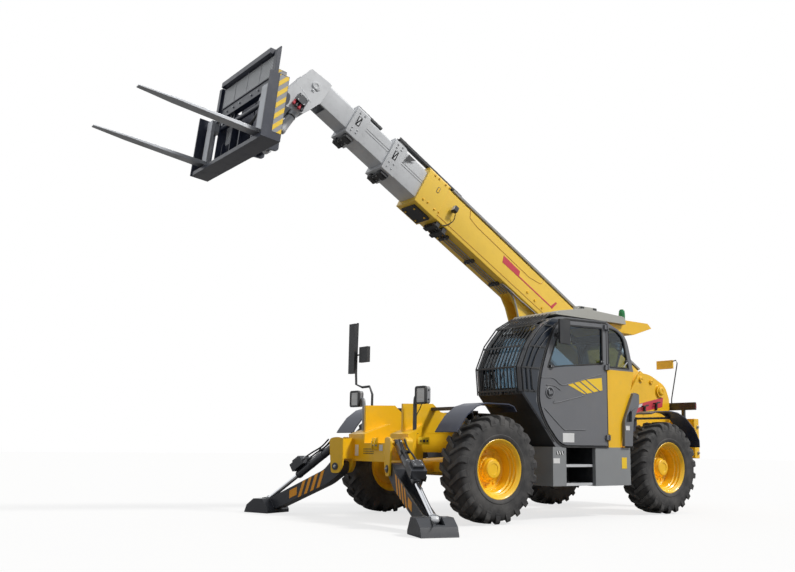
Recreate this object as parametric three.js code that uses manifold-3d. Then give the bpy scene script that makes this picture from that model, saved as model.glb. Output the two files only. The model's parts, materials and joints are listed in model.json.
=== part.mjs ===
// Telehandler with a four-piece telescopic boom, raised and part extended, on its front stabilisers.
// Millimetres, +X forward, +Y to the cab side, +Z up, standing on the plane z = 0.
import * as THREE from "three";
import * as BufferGeometryUtils from "three/addons/utils/BufferGeometryUtils.js";
import Module from "manifold-3d";

const wasm = await Module();
wasm.setup();
const { Manifold, Mesh: SolidMesh } = wasm;

// ---------------------------------------------------------------- driving dimensions

const SEAT_GAP = 0.3; // between pieces that seat on each other
const PIN_GAP = 0.6; // around a pin in its bore
const SWEEP_GAP = 8; // between pieces that move past each other
const ROUND = 16; // facets of a pin or bore
const WHEEL_ROUND = 32; // facets of a tyre or rim

const wheelbase = 3090;
const track = 2016; // between the tyre centres
const tyreRadius = 607;
const tyreWidth = 385;
const rimRadius = 305; // bead seat
const rimFlangeRadius = 335;
const rimFlangeOut = 171; // flange face from the tyre centre
const kingpinInset = 225; // king pin inboard of the tyre centre
const kingpinRadius = 30;
const knuckleRadius = 78;
const knuckleHalfHeight = 118;
const discInner = -85; // inner face of the wheel disc from the tyre centre

const railOuter = 390; // half width over the main rails
const railThickness = 30;
const railBottom = 600;
const railAboveAxle = 780;
const wheelClear = 700; // fore and aft of each axle
const railTop = 1040;
const rearEnd = -1290;
const counterweightDepth = 150;
const frontFace = 3940; // front face of the nose box
const noseRear = 3560;
const noseHalfWidth = 600;
const noseBottom = 665;
const noseTopFront = 985;
const noseTopRear = 1110;
const channelHalfWidth = 262; // free way for the lowered boom
const channelFloor = 880;

const boomAngle = THREE.MathUtils.degToRad(29.3);
const boomPivotX = -1040;
const boomPivotZ = 1710;
const boomPinRadius = 45;
const boomWall = 12;
const sectionClearance = 5; // each side, between nested sections
const baseHalfWidth = 170;
const baseBottom = -386;
const baseTop = 130;
const baseFront = 5075;

const towerInner = 262;
const towerThickness = 30;

const liftBaseX = -580;
const liftBaseZ = 768;
const liftEyeS = 2706; // along the boom from its pivot
const liftEyeT = -625; // square to the boom
const liftBoreRadius = 92;
const liftRodRadius = 52;
const liftPinRadius = 40;
const liftEyeHalf = 68; // half width of the rod eye

const headFront = 7113;
const carriagePivotS = 7080;
const carriagePivotT = -560;
const carriagePinRadius = 30;
const tiltBaseS = 6833;
const tiltBaseT = -135;
const tiltEyeS = 6885;
const tiltEyeT = -1135;
const tiltBarrelRadius = 48;
const tiltRodRadius = 25;
const tiltPinRadius = 24;
const tiltEyeHalf = 38;
const carriageLean = THREE.MathUtils.degToRad(6.5);
const forkHeelX = 5930;
const forkHeelZ = 3960;
const forkLength = 1303;
const forkSpacing = 1325; // between the fork centres
const forkWidth = 125;
const forkThickness = 46;
const carriageHalfWidth = 868;

const legSplay = THREE.MathUtils.degToRad(18);
const legPinX = 4140; // front face of the leg root
const legPinY = 540;
const legPinZ = 600;
const legReach = 1172; // leg pin to foot centre, in plan
const ramPinY = 575;
const ramPinZ = 885;

const cabInner = railOuter + SEAT_GAP; // right wall of the cab, against the rail
const cabOuter = 1150;
const cabWall = 40;
const cabFloor = 862;
const doorRear = 1226;
const doorGap = 6; // around the door
const doorProud = 18; // door face outside the cab wall
const hingeX = 1212;
const hingeY = cabOuter + 42;
const hingeHalf = 30;
const hingeHeights = [985, 1865, 2380];
const guardGap = 30; // between the cab front and its guard
const guardThickness = 14;
const guardBarCount = 12;
const guardBarWidth = 10;
const seatMiddle = 770; // y of the seat and the steering wheel
const roofUnderside = 2462;
const roofRear = 790;
const visorTop = 2530;

const podFront = 2330; // engine pod, on the right
const podRear = 750;
const podBottom = 640;
const podTop = 1300;
const podOuter = 1150;
const podWall = 20;
const hoodSeam = 1090; // lower edge of the hood
const hoodInner = 425; // inner edge of the hood
const hoodHingeY = 407;
const hoodHingeZ = podTop + 18;
const hoodHingePlaces = [podRear + 250, podFront - 320];

const fenderInner = 822;
const rearFenderInner = 925;
const fenderOuter = 1200;
const fenderSkin = 14;
const lampInner = 490;
const lampOuter = 770;
const lampBottom = 1310;
const lampTop = 1530;
const lampFace = 3833;
const lampDepth = 90;

const paintYellow = 0xf2c230;
const paintGrey = 0x77787b;
const paintDark = 0x2b2d31;
const navy = 0x2a3446;
const paleGrey = 0xc9cbcd;

// ---------------------------------------------------------------- solids

/** A manifold from a closed geometry. */
function solid(geometry) {
  const plain = geometry.index ? geometry.toNonIndexed() : geometry.clone();
  plain.deleteAttribute("normal");
  plain.deleteAttribute("uv");
  const merged = BufferGeometryUtils.mergeVertices(plain, 1e-3);
  const vertProperties = new Float32Array(merged.attributes.position.array);
  const triVerts = new Uint32Array(merged.index.array);
  return new Manifold(new SolidMesh({ numProp: 3, vertProperties, triVerts }));
}

/** A box from its six faces. */
function box(x0, x1, y0, y1, z0, z1) {
  const geometry = new THREE.BoxGeometry(x1 - x0, y1 - y0, z1 - z0);
  geometry.translate((x0 + x1) / 2, (y0 + y1) / 2, (z0 + z1) / 2);
  return solid(geometry);
}

/** The outline as a Shape: corners are [a, b], or [a, b, radius] for a rounded one. */
function outline(corners) {
  const shape = new THREE.Shape();
  const count = corners.length;
  corners.forEach(([a, b, radius = 0], i) => {
    const here = new THREE.Vector2(a, b);
    const before = new THREE.Vector2(...corners[(i + count - 1) % count]).sub(here);
    const after = new THREE.Vector2(...corners[(i + 1) % count]).sub(here);
    const reach = Math.min(radius, before.length() * 0.49, after.length() * 0.49);
    const start = here.clone().addScaledVector(before.normalize(), reach);
    const end = here.clone().addScaledVector(after.normalize(), reach);
    if (i === 0) shape.moveTo(start.x, start.y);
    else shape.lineTo(start.x, start.y);
    if (reach > 0) shape.quadraticCurveTo(a, b, end.x, end.y);
  });
  shape.closePath();
  return shape;
}

const alongX = new THREE.Matrix4().set(0, 0, 1, 0, 1, 0, 0, 0, 0, 1, 0, 0, 0, 0, 0, 1);
const alongY = new THREE.Matrix4().set(1, 0, 0, 0, 0, 0, -1, 0, 0, 1, 0, 0, 0, 0, 0, 1);

/** An outline in (y, z) swept from x0 to x1. */
function prismX(corners, x0, x1, curveSegments = 4) {
  const settings = { depth: x1 - x0, bevelEnabled: false, curveSegments };
  const geometry = new THREE.ExtrudeGeometry(outline(corners), settings);
  geometry.applyMatrix4(alongX);
  geometry.translate(x0, 0, 0);
  return solid(geometry);
}

/** An outline in (x, z) swept from y0 to y1. */
function prismY(corners, y0, y1, curveSegments = 4) {
  const settings = { depth: y1 - y0, bevelEnabled: false, curveSegments };
  const geometry = new THREE.ExtrudeGeometry(outline(corners), settings);
  geometry.applyMatrix4(alongY);
  geometry.translate(0, y1, 0);
  return solid(geometry);
}

/** An outline in (x, y) swept from z0 to z1. */
function prismZ(corners, z0, z1, curveSegments = 4) {
  const settings = { depth: z1 - z0, bevelEnabled: false, curveSegments };
  const geometry = new THREE.ExtrudeGeometry(outline(corners), settings);
  geometry.translate(0, 0, z0);
  return solid(geometry);
}

/** A round bar between two points [x, y, z]. */
function bar(from, to, radius, facets = ROUND, endRadius = radius) {
  const a = new THREE.Vector3(...from);
  const b = new THREE.Vector3(...to);
  const geometry = new THREE.CylinderGeometry(endRadius, radius, a.distanceTo(b), facets);
  const direction = b.clone().sub(a).normalize();
  geometry.applyQuaternion(new THREE.Quaternion().setFromUnitVectors(new THREE.Vector3(0, 1, 0), direction));
  const middle = a.add(b).multiplyScalar(0.5);
  geometry.translate(middle.x, middle.y, middle.z);
  return solid(geometry);
}

/** Radius of a faceted bore whose flats clear a pin that is turned to any angle in it. */
const boreFor = (pinRadius) => (pinRadius + SEAT_GAP) / Math.cos(Math.PI / ROUND);

/** A bar along Y at (x, z). */
const crossBar = (x, z, y0, y1, radius, facets = ROUND) => bar([x, y0, z], [x, y1, z], radius, facets);

/** A round tube bent gently through a path of points. */
function pipe(points, radius, facets = 8) {
  const section = new THREE.Shape();
  Array.from({ length: facets }, (_, i) => (i * 2 * Math.PI) / facets).forEach((angle, i) => {
    const [a, b] = [radius * Math.cos(angle), radius * Math.sin(angle)];
    if (i === 0) section.moveTo(a, b);
    else section.lineTo(a, b);
  });
  section.closePath();
  const path = new THREE.CatmullRomCurve3(
    points.map((point) => new THREE.Vector3(...point)),
    false,
    "catmullrom",
    0.25,
  );
  const steps = (points.length - 1) * 4;
  return solid(new THREE.ExtrudeGeometry(section, { extrudePath: path, steps, bevelEnabled: false }));
}

/** A ring or disc turned about the Y axis: profile of [radius, y]. */
function turned(profile, facets) {
  const points = profile.map(([r, y]) => new THREE.Vector2(r, y));
  if (THREE.ShapeUtils.isClockWise(points)) points.reverse();
  return solid(new THREE.LatheGeometry([...points, points[0]], facets));
}

const join = (...pieces) => pieces.reduce((sum, piece) => sum.add(piece));
const cut = (piece, ...tools) => tools.reduce((rest, tool) => rest.subtract(tool), piece);
const moved = (piece, x, y, z) => piece.translate([x, y, z]);
const mirroredY = (piece) => piece.mirror([0, 1, 0]);
const bothSides = (piece) => join(piece, mirroredY(piece));

const machine = new THREE.Group();

/** Adds one named mesh to a group. */
function addMesh(name, body, color, parent = machine, roughness = 0.5, metalness = 0.1) {
  const { vertProperties, triVerts } = body.getMesh();
  const geometry = new THREE.BufferGeometry();
  geometry.setAttribute("position", new THREE.BufferAttribute(vertProperties, 3));
  geometry.setIndex(new THREE.BufferAttribute(triVerts, 1));
  geometry.computeVertexNormals();
  const mesh = new THREE.Mesh(geometry, new THREE.MeshStandardMaterial({ color, roughness, metalness }));
  mesh.name = name;
  parent.add(mesh);
  return mesh;
}

/** A group at a place in the machine, turned about Y so that its X axis climbs by the angle. */
function placed(x, y, z, climb = 0, swing = 0) {
  const group = new THREE.Group();
  group.position.set(x, y, z);
  group.rotation.set(0, -climb, swing, "ZYX");
  machine.add(group);
  return group;
}

/** Where a point along and square to the boom lies in the machine. */
function boomPoint(s, t) {
  const x = boomPivotX + s * Math.cos(boomAngle) - t * Math.sin(boomAngle);
  const z = boomPivotZ + s * Math.sin(boomAngle) + t * Math.cos(boomAngle);
  return [x, z];
}

// ---------------------------------------------------------------- chassis

function chassisFrame() {
  const railOutline = [
    [rearEnd, railBottom + 160],
    [rearEnd + 250, railAboveAxle],
    [wheelClear, railAboveAxle],
    [wheelClear + 60, railBottom],
    [wheelbase - wheelClear - 60, railBottom],
    [wheelbase - wheelClear, railAboveAxle],
    [noseRear + 60, railAboveAxle],
    [noseRear + 60, railTop],
    [rearEnd, railTop],
  ];
  const rails = bothSides(prismY(railOutline, railOuter - railThickness, railOuter));
  const noseSide = [
    [noseRear, noseBottom],
    [frontFace, noseBottom],
    [frontFace, noseTopFront],
    [noseRear, noseTopRear],
  ];
  const noseHalf = [
    [frontFace, -1],
    [frontFace, noseHalfWidth],
    [frontFace - 110, noseHalfWidth],
    [noseRear, railOuter],
    [noseRear, -1],
  ];
  const nosePlan = bothSides(prismZ(noseHalf.reverse(), 0, 2000));
  const nose = prismY(noseSide, -noseHalfWidth, noseHalfWidth).intersect(nosePlan);
  const noseHollow = prismZ(
    [
      [noseRear - 1, -330],
      [frontFace - 130, -520],
      [frontFace - 40, -520],
      [frontFace - 40, 520],
      [frontFace - 130, 520],
      [noseRear - 1, 330],
    ],
    noseBottom - 1,
    channelFloor - 25,
  );
  const channel = box(noseRear - 1, frontFace + 1, -channelHalfWidth, channelHalfWidth, channelFloor, 2000);
  const sideWall = prismY(
    [
      [2900, railTop - 40],
      [3860, railTop - 40],
      [3860, 1330],
      [3420, 1345],
      [3300, 1250],
      [2900, 1200],
    ],
    channelHalfWidth + 100,
    channelHalfWidth + 130,
  );
  const crossMembers = [-1150, 700, 1500, 2150].map((x) =>
    box(x, x + 160, -railOuter + 5, railOuter - 5, x < 0 ? railAboveAxle : railBottom + 110, railAboveAxle + 20),
  );
  const lugInner = liftBoreRadius + SWEEP_GAP;
  const liftLugs = bothSides(
    prismY(
      [
        [liftBaseX - 200, railAboveAxle - 40],
        [liftBaseX - 60, liftBaseZ - 80, 60],
        [liftBaseX + 80, liftBaseZ - 80, 60],
        [liftBaseX + 80, liftBaseZ + 80, 60],
        [liftBaseX - 200, railAboveAxle + 220],
      ],
      lugInner,
      lugInner + 40,
    ),
  );
  const liftPin = crossBar(liftBaseX, liftBaseZ, -lugInner - 20, lugInner + 20, liftPinRadius);
  const liftWall = box(
    liftBaseX - 230,
    liftBaseX - 170,
    -railOuter + 5,
    railOuter - 5,
    railAboveAxle - 40,
    railAboveAxle + 220,
  );
  const noseBox = cut(nose, noseHollow, channel);
  const brackets = [stabiliserBracket(1), stabiliserBracket(-1)];
  return join(rails, noseBox, ...brackets, bothSides(sideWall), ...crossMembers, liftWall, liftLugs, liftPin);
}

function boomTower() {
  const plateOutline = [
    [-1290, railTop + SEAT_GAP],
    [-150, railTop + SEAT_GAP],
    [-260, 1560],
    [-560, 1960, 80],
    [-800, 1950, 120],
    [-1180, 1790, 120],
    [-1260, 1600],
  ];
  const plate = prismY(plateOutline, towerInner, towerInner + towerThickness);
  const plates = bothSides(plate);
  const boss = crossBar(boomPivotX, boomPivotZ, towerInner - 60, towerInner + towerThickness + 25, 95);
  const footFlange = box(-1290, -150, towerInner, railOuter, railTop + SEAT_GAP, railTop + 26);
  const backPlate = box(-1290, -1262, -towerInner - 5, towerInner + 5, railTop + SEAT_GAP, 1500);
  const pin = crossBar(boomPivotX, boomPivotZ, -towerInner - 50, towerInner + 50, boomPinRadius);
  return join(plates, bothSides(boss), bothSides(footFlange), backPlate, pin);
}

function counterweight() {
  const rear = rearEnd - SEAT_GAP;
  return prismZ(
    [
      [rear - counterweightDepth, -700, 60],
      [rear - counterweightDepth, 700, 60],
      [rear, 700],
      [rear, -700],
    ],
    720,
    1300,
  );
}

function axle(x) {
  const kingpinY = track / 2 - kingpinInset;
  const beamEnd = kingpinY - knuckleRadius - 3 * SWEEP_GAP;
  const beamCorners = [
    [-beamEnd, tyreRadius - 62, 30],
    [beamEnd, tyreRadius - 62, 30],
    [beamEnd, tyreRadius + 62, 30],
    [-beamEnd, tyreRadius + 62, 30],
  ];
  const beam = prismX(beamCorners, x - 75, x + 75, 2);
  const differential = bar([x - 190, 0, tyreRadius], [x + 210, 0, tyreRadius], 115, 16, 95);
  const jawInner = knuckleHalfHeight + SWEEP_GAP;
  const jawOuter = jawInner + 34;
  const jawHalf = 58;
  const stem = box(x - jawHalf, x + jawHalf, beamEnd - 60, beamEnd, tyreRadius - jawOuter, tyreRadius + jawOuter);
  const jaw = box(x - jawHalf, x + jawHalf, beamEnd - 10, kingpinY + 60, tyreRadius + jawInner, tyreRadius + jawOuter);
  const lowerJaw = jaw.translate([0, 0, -jawInner - jawOuter]);
  const pins = bar([x, kingpinY, tyreRadius + 70], [x, kingpinY, tyreRadius + jawInner + 5], kingpinRadius);
  const lowerPin = bar([x, kingpinY, tyreRadius - 70], [x, kingpinY, tyreRadius - jawInner - 5], kingpinRadius);
  const mount = box(x - 70, x + 70, railOuter + SEAT_GAP, 500, tyreRadius, railAboveAxle + 90);
  return join(beam, differential, bothSides(join(stem, jaw, lowerJaw, pins, lowerPin, mount)));
}

// ---------------------------------------------------------------- wheels

/** Steering knuckle with its bores on the king pin, which is its own Z axis. */
function knuckle(side) {
  const housing = bar([0, 0, -knuckleHalfHeight], [0, 0, knuckleHalfHeight], knuckleRadius);
  const stub = bar([0, 0, 0], [0, side * (kingpinInset + discInner - SEAT_GAP), 0], 70);
  const arm = box(-200, -40, -30, 30, -25, 25);
  const bore = bar([0, 0, 60], [0, 0, knuckleHalfHeight + 1], boreFor(kingpinRadius));
  const lowerBore = bar([0, 0, -60], [0, 0, -knuckleHalfHeight - 1], boreFor(kingpinRadius));
  return cut(join(housing, stub, arm), bore, lowerBore);
}

function rim(side) {
  const half = rimFlangeOut;
  const barrel = turned(
    [
      [rimRadius - 14, -half],
      [rimRadius - 14, half],
      [rimFlangeRadius, half],
      [rimFlangeRadius, half - 8],
      [rimRadius, half - 8],
      [rimRadius, -half + 8],
      [rimFlangeRadius, -half + 8],
      [rimFlangeRadius, -half],
    ],
    WHEEL_ROUND,
  );
  const disc = bar([0, side * discInner, 0], [0, side * (discInner + 25), 0], rimRadius - 8, WHEEL_ROUND);
  const hub = bar([0, side * (discInner + 5), 0], [0, side * 80, 0], 150, ROUND, 105);
  return join(barrel, disc, hub);
}

function tyre() {
  const bead = rimRadius + SEAT_GAP;
  const flange = rimFlangeOut - 8 - SEAT_GAP;
  const half = tyreWidth / 2;
  const side = [
    [bead, flange],
    [rimFlangeRadius + SEAT_GAP, flange],
    [rimFlangeRadius + 25, half - 8],
    [450, half],
    [560, half - 8],
    [tyreRadius, half - 42],
  ];
  const mirrored = side.map(([r, y]) => [r, -y]).reverse();
  return turned([...side, ...mirrored], WHEEL_ROUND);
}

const wheelPlaces = [
  ["front_left", wheelbase, 1],
  ["front_right", wheelbase, -1],
  ["rear_left", 0, 1],
  ["rear_right", 0, -1],
];

function addWheels() {
  addMesh("front_axle", axle(wheelbase), paintYellow);
  addMesh("rear_axle", axle(0), paintYellow);
  for (const [name, x, side] of wheelPlaces) {
    const centre = (side * track) / 2;
    addMesh(`knuckle_${name}`, knuckle(side), paintYellow, placed(x, centre - side * kingpinInset, tyreRadius));
    addMesh(`rim_${name}`, rim(side), 0xe8a317, placed(x, centre, tyreRadius));
    addMesh(`tyre_${name}`, tyre(), 0x1f2022, placed(x, centre, tyreRadius), 0.9, 0);
  }
}

// ---------------------------------------------------------------- boom

/** Corners of a boom section: flat sides, chamfered top. */
function sectionCorners(halfWidth, bottom, top, chamfer = 55) {
  return [
    [-halfWidth, bottom, 14],
    [halfWidth, bottom, 14],
    [halfWidth, top - chamfer],
    [halfWidth - chamfer, top],
    [-halfWidth + chamfer, top],
    [-halfWidth, top - chamfer],
  ];
}

function grown(section, by) {
  return sectionCorners(section.half + by, section.bottom - by, section.top + by);
}

const nestStep = boomWall + sectionClearance;
const sections = [
  { half: baseHalfWidth, bottom: baseBottom, top: baseTop, rear: 60, front: baseFront },
  { half: baseHalfWidth - nestStep, bottom: -348, top: 100, rear: 690, front: 5665 },
  { half: baseHalfWidth - 2 * nestStep, bottom: -305, top: 76, rear: 1090, front: 6280 },
  { half: baseHalfWidth - 3 * nestStep, bottom: -268, top: 52, rear: 1490, front: 6740 },
];
const collarLengths = [375, 200, 205];
const padLength = 140;

/** A hollow section that carries a collar and guides the next one out. */
function boomTube(index) {
  const section = sections[index];
  const next = sections[index + 1];
  const body = prismX(grown(section, 0), section.rear, section.front, 2);
  const collar = prismX(grown(section, 24), section.front - collarLengths[index], section.front, 2);
  const hollow = prismX(grown(section, -boomWall), section.rear + (index ? -1 : 240), section.front - padLength, 2);
  const mouth = prismX(grown(next, PIN_GAP), section.front - padLength - 1, section.front + 1, 2);
  let tube = join(body, collar);
  if (index > 0) {
    const outer = sections[index - 1];
    const pads = prismX(grown(outer, -boomWall - PIN_GAP), section.rear, section.rear + padLength, 2);
    tube = join(tube, pads);
  }
  return cut(tube, hollow, mouth);
}

function boomBase() {
  const pivotPlates = bothSides(
    prismY(
      [
        [-110, -80, 60],
        [110, -180],
        [420, baseBottom + 20],
        [420, 100],
        [60, 110, 60],
        [-110, 80, 60],
      ],
      baseHalfWidth - 5,
      baseHalfWidth + 25,
    ),
  );
  const pivotTube = crossBar(0, 0, -baseHalfWidth - 30, baseHalfWidth + 30, 95);
  const yokeCorners = [
    [2560, baseBottom + boomWall / 2],
    [3170, baseBottom + boomWall / 2],
    [2960, -500],
    [liftEyeS + 85, liftEyeT - 20, 60],
    [liftEyeS - 60, liftEyeT - 80, 60],
    [liftEyeS - 90, liftEyeT + 40, 30],
  ];
  const yoke = bothSides(prismY(yokeCorners, liftEyeHalf + SWEEP_GAP, liftEyeHalf + SWEEP_GAP + 30));
  const eyeStubs = bothSides(crossBar(liftEyeS, liftEyeT, liftEyeHalf + SWEEP_GAP, 115, liftPinRadius));
  const bore = crossBar(0, 0, -300, 300, boreFor(boomPinRadius));
  const body = cut(join(boomTube(0), pivotPlates, pivotTube), bore);
  return join(body, yoke, eyeStubs);
}

function boomHead() {
  const section = sections[3];
  const outer = sections[2];
  const tube = cut(
    join(
      prismX(grown(section, 0), section.rear, section.front, 2),
      prismX(grown(outer, -boomWall - PIN_GAP), section.rear, section.rear + padLength, 2),
    ),
    prismX(grown(section, -boomWall), section.rear - 1, section.front + 1, 2),
  );
  const notch = box(section.front - 140, section.front + 1, -section.half + 20, section.half - 20, -400, -60);
  const cheekCorners = [
    [section.front - 50, section.bottom + 2],
    [6760, -457],
    [6800, -543],
    [carriagePivotS - 60, carriagePivotT - 70],
    [carriagePivotS + 50, carriagePivotT - 60, 40],
    [headFront, -520],
    [6995, 0, 30],
    [6725, 26],
    [section.front - 50, 20],
  ];
  const cheeks = bothSides(prismY(cheekCorners, section.half - 4, section.half + 21));
  const topWeb = box(section.front - 50, 6980, -section.half, section.half, -15, 15);
  const basePin = crossBar(tiltBaseS, tiltBaseT, -section.half - 28, section.half + 28, tiltPinRadius);
  const boss = bothSides(crossBar(tiltBaseS, tiltBaseT, section.half + 20, section.half + 32, 55));
  const bore = crossBar(carriagePivotS, carriagePivotT, -300, 300, boreFor(carriagePinRadius));
  return cut(join(cut(tube, notch), cheeks, topWeb, boss, basePin), bore);
}

// ---------------------------------------------------------------- cylinders

/** Barrel of a cylinder along its own +X, with the eye on its base pin at the origin. */
function cylinderBarrel(size) {
  const tube = bar([size.eye * 0.6, 0, 0], [size.barrel, 0, 0], size.radius, ROUND);
  const gland = bar([size.barrel - 45, 0, 0], [size.barrel + 15, 0, 0], size.radius + 8, ROUND);
  const eye = crossBar(0, 0, -size.eyeWidth, size.eyeWidth, size.eye);
  const pinBore = crossBar(0, 0, -400, 400, boreFor(size.pin));
  const rodBore = bar([size.eye * 0.6 + 40, 0, 0], [size.barrel + 40, 0, 0], size.rod + PIN_GAP, ROUND);
  return cut(join(tube, gland, eye), pinBore, rodBore);
}

/** Rod of the same cylinder, with its eye at the far pin. */
function cylinderRod(size) {
  const rod = bar([size.rodStart, 0, 0], [size.length - size.eye * 0.6, 0, 0], size.rod, ROUND);
  const eye = crossBar(size.length, 0, -size.eyeWidth, size.eyeWidth, size.eye);
  const pinBore = crossBar(size.length, 0, -400, 400, boreFor(size.pin));
  return cut(join(rod, eye), pinBore);
}

function addCylinder(name, from, to, size, color) {
  const dx = to[0] - from[0];
  const dz = to[1] - from[1];
  const sized = { ...size, length: Math.hypot(dx, dz) };
  const place = placed(from[0], 0, from[1], Math.atan2(dz, dx));
  addMesh(`${name}_barrel`, cylinderBarrel(sized), color, place);
  addMesh(`${name}_rod`, cylinderRod(sized), 0xd8dadd, place, 0.15, 1);
}

const liftSize = {
  barrel: 1740,
  radius: liftBoreRadius,
  rod: liftRodRadius,
  rodStart: 700,
  pin: liftPinRadius,
  eye: 60,
  eyeWidth: liftEyeHalf,
};
const tiltSize = {
  barrel: 700,
  radius: tiltBarrelRadius,
  rod: tiltRodRadius,
  rodStart: 390,
  pin: tiltPinRadius,
  eye: 44,
  eyeWidth: tiltEyeHalf,
};

// ---------------------------------------------------------------- carriage and forks

/** The carriage stands in its own upright frame, from the heel of the forks. */
function carriageLocal(x, z) {
  const dx = x - forkHeelX;
  const dz = z - forkHeelZ;
  const c = Math.cos(carriageLean);
  const s = Math.sin(carriageLean);
  return [dx * c + dz * s, -dx * s + dz * c];
}

function carriage() {
  const [pivotA, pivotH] = carriageLocal(...boomPoint(carriagePivotS, carriagePivotT));
  const [eyeA, eyeH] = carriageLocal(...boomPoint(tiltEyeS, tiltEyeT));
  const cheekInner = sections[3].half + 21 + SWEEP_GAP + 2;
  const cheeks = bothSides(
    prismY(
      [
        [pivotA - 60, pivotH + 55, 40],
        [pivotA + 80, pivotH + 70],
        [-110, 640],
        [-110, -20],
        [eyeA + 60, eyeH - 60],
        [eyeA - 55, eyeH - 50, 40],
        [eyeA - 50, eyeH + 90],
        [pivotA + 20, pivotH - 160],
        [pivotA - 60, pivotH - 50, 40],
      ],
      cheekInner,
      cheekInner + 28,
    ),
  );
  const pivotPin = bothSides(crossBar(pivotA, pivotH, tiltBarrelRadius + 3 * SWEEP_GAP, cheekInner + 30, carriagePinRadius));
  const eyePin = bothSides(crossBar(eyeA, eyeH, tiltEyeHalf + SWEEP_GAP, cheekInner + 20, tiltPinRadius));
  const half = carriageHalfWidth;
  const lowerBeam = box(-120, -50, -half, half, -80, 60);
  const toe = box(-52, 88, -half, half, -80, -34);
  const upperBeam = box(-120, -50, -720, 720, 600, 712);
  const uprights = bothSides(box(-200, -52, 600, 620, 58, 820));
  const ends = bothSides(box(-120, 100, half - 16, half, -80, 640));
  const endTie = bothSides(box(-120, -52, 718, half, 600, 640));
  const shaft = crossBar(-85, 490, -half + 10, half - 10, 26, 16);
  const backrest = box(-64, -50, -700, 700, 700, 1034);
  const topRail = box(-66, 10, -588, 588, 974, 1034);
  const backrestPosts = bothSides(box(-66, -20, 640, 700, 700, 990));
  const frame = join(lowerBeam, toe, upperBeam, uprights, ends, endTie, shaft);
  return join(frame, cheeks, pivotPin, eyePin, backrest, topRail, backrestPosts);
}

function fork(y) {
  const bladeCorners = [
    [0, 0, 20],
    [forkLength, forkThickness - 14],
    [forkLength, forkThickness],
    [forkThickness, forkThickness + 2],
    [forkThickness, 560],
    [0, 560],
  ];
  const blade = prismY(bladeCorners, y - forkWidth / 2, y + forkWidth / 2);
  const taper = prismZ(
    [
      [-200, y - forkWidth / 2],
      [forkLength * 0.72, y - forkWidth / 2],
      [forkLength, y - forkWidth / 4],
      [forkLength, y + forkWidth / 4],
      [forkLength * 0.72, y + forkWidth / 2],
      [-200, y + forkWidth / 2],
    ],
    -10,
    700,
  );
  const hook = cut(
    box(-120, 10, y - 45, y + 45, 440, 540),
    crossBar(-85, 490, y - 80, y + 80, boreFor(26), ROUND),
  );
  return join(blade.intersect(taper), hook);
}

function addCarriage() {
  const place = placed(forkHeelX, 0, forkHeelZ, carriageLean);
  let frame = carriage();
  for (const side of [-1, 1]) {
    const y = (side * forkSpacing) / 2;
    frame = cut(frame, box(-121, 0, y - 46, y + 46, 439, 541).subtract(crossBar(-85, 490, y - 90, y + 90, 26, 16)));
  }
  addMesh("fork_carriage", frame, navy, place);
  addMesh("fork_left", fork(forkSpacing / 2), 0x8d9299, place, 0.4, 0.7);
  addMesh("fork_right", fork(-forkSpacing / 2), 0x8d9299, place, 0.4, 0.7);
}

// ---------------------------------------------------------------- stabilisers

/** The outline seen from the other side: Y mirrored, still counter-clockwise. */
const handed = (corners, side) => (side > 0 ? corners : corners.map(([y, ...rest]) => [-y, ...rest]).reverse());

const legThickness = 150;
const legWall = 13;
const ramX = -legThickness / 2;
const footEyeY = legReach + 10;
const footEyeZ = 150 - legPinZ;
const legPinRadius = 30;
const ramPinRadius = 20;

/** Leg and foot in a frame whose +Y runs out along the leg in plan, with the leg pin at the origin. */
function stabiliserLeg(side) {
  const floor = -legPinZ;
  const beamCorners = [
    [-70, -70, 50],
    [150, -215, 60],
    [legReach - 222, floor + 60],
    [legReach + 60, floor + 105],
    [legReach + 60, floor + 175],
    [legReach - 120, floor + 190],
    [200, -45, 60],
    [90, 62, 40],
    [-70, 70, 50],
  ];
  const beam = prismX(handed(beamCorners, side), -legThickness, 0);
  const slotCorners = [
    [150, -160],
    [legReach - 150, floor + 110],
    [legReach + 400, floor + 110],
    [legReach + 400, 500],
    [150, 500],
  ];
  const slot = prismX(handed(slotCorners, side), -legThickness + legWall, -legWall);
  const footCorners = [
    [legReach - 190, floor, 10],
    [legReach + 215, floor, 10],
    [legReach + 175, floor + 95],
    [legReach + 60, floor + 175],
    [legReach - 100, floor + 175],
    [legReach - 190, floor + 40],
  ];
  const foot = prismX(handed(footCorners, side), -260, 130);
  const stubFar = bar([-legThickness + 2, side * footEyeY, footEyeZ], [-legThickness + 26, side * footEyeY, footEyeZ], ramPinRadius);
  const stubNear = bar([-26, side * footEyeY, footEyeZ], [-2, side * footEyeY, footEyeZ], ramPinRadius);
  const bore = bar([-400, 0, 0], [200, 0, 0], boreFor(legPinRadius));
  return join(cut(join(beam, foot), slot, bore), stubFar, stubNear);
}

function addStabiliser(name, side) {
  const place = placed(legPinX, side * legPinY, legPinZ, 0, -side * legSplay);
  addMesh(`stabiliser_leg_${name}`, stabiliserLeg(side), paintDark, place);
  const ramY = ramPinY - legPinY;
  const ramZ = ramPinZ - legPinZ;
  const reach = footEyeY - ramY;
  const fall = ramZ - footEyeZ;
  const ram = new THREE.Group();
  ram.position.set(ramX, side * ramY, ramZ);
  ram.rotation.set(0, Math.atan2(fall, reach), (side * Math.PI) / 2, "ZYX");
  place.add(ram);
  const size = { ...ramSize, length: Math.hypot(reach, fall) };
  addMesh(`stabiliser_ram_${name}_barrel`, cylinderBarrel(size), paintDark, ram);
  addMesh(`stabiliser_ram_${name}_rod`, cylinderRod(size), 0xd8dadd, ram, 0.15, 1);
}

const ramSize = {
  barrel: 760,
  radius: 48,
  rod: 28,
  rodStart: 450,
  pin: ramPinRadius,
  eye: 38,
  eyeWidth: 42,
};

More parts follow.
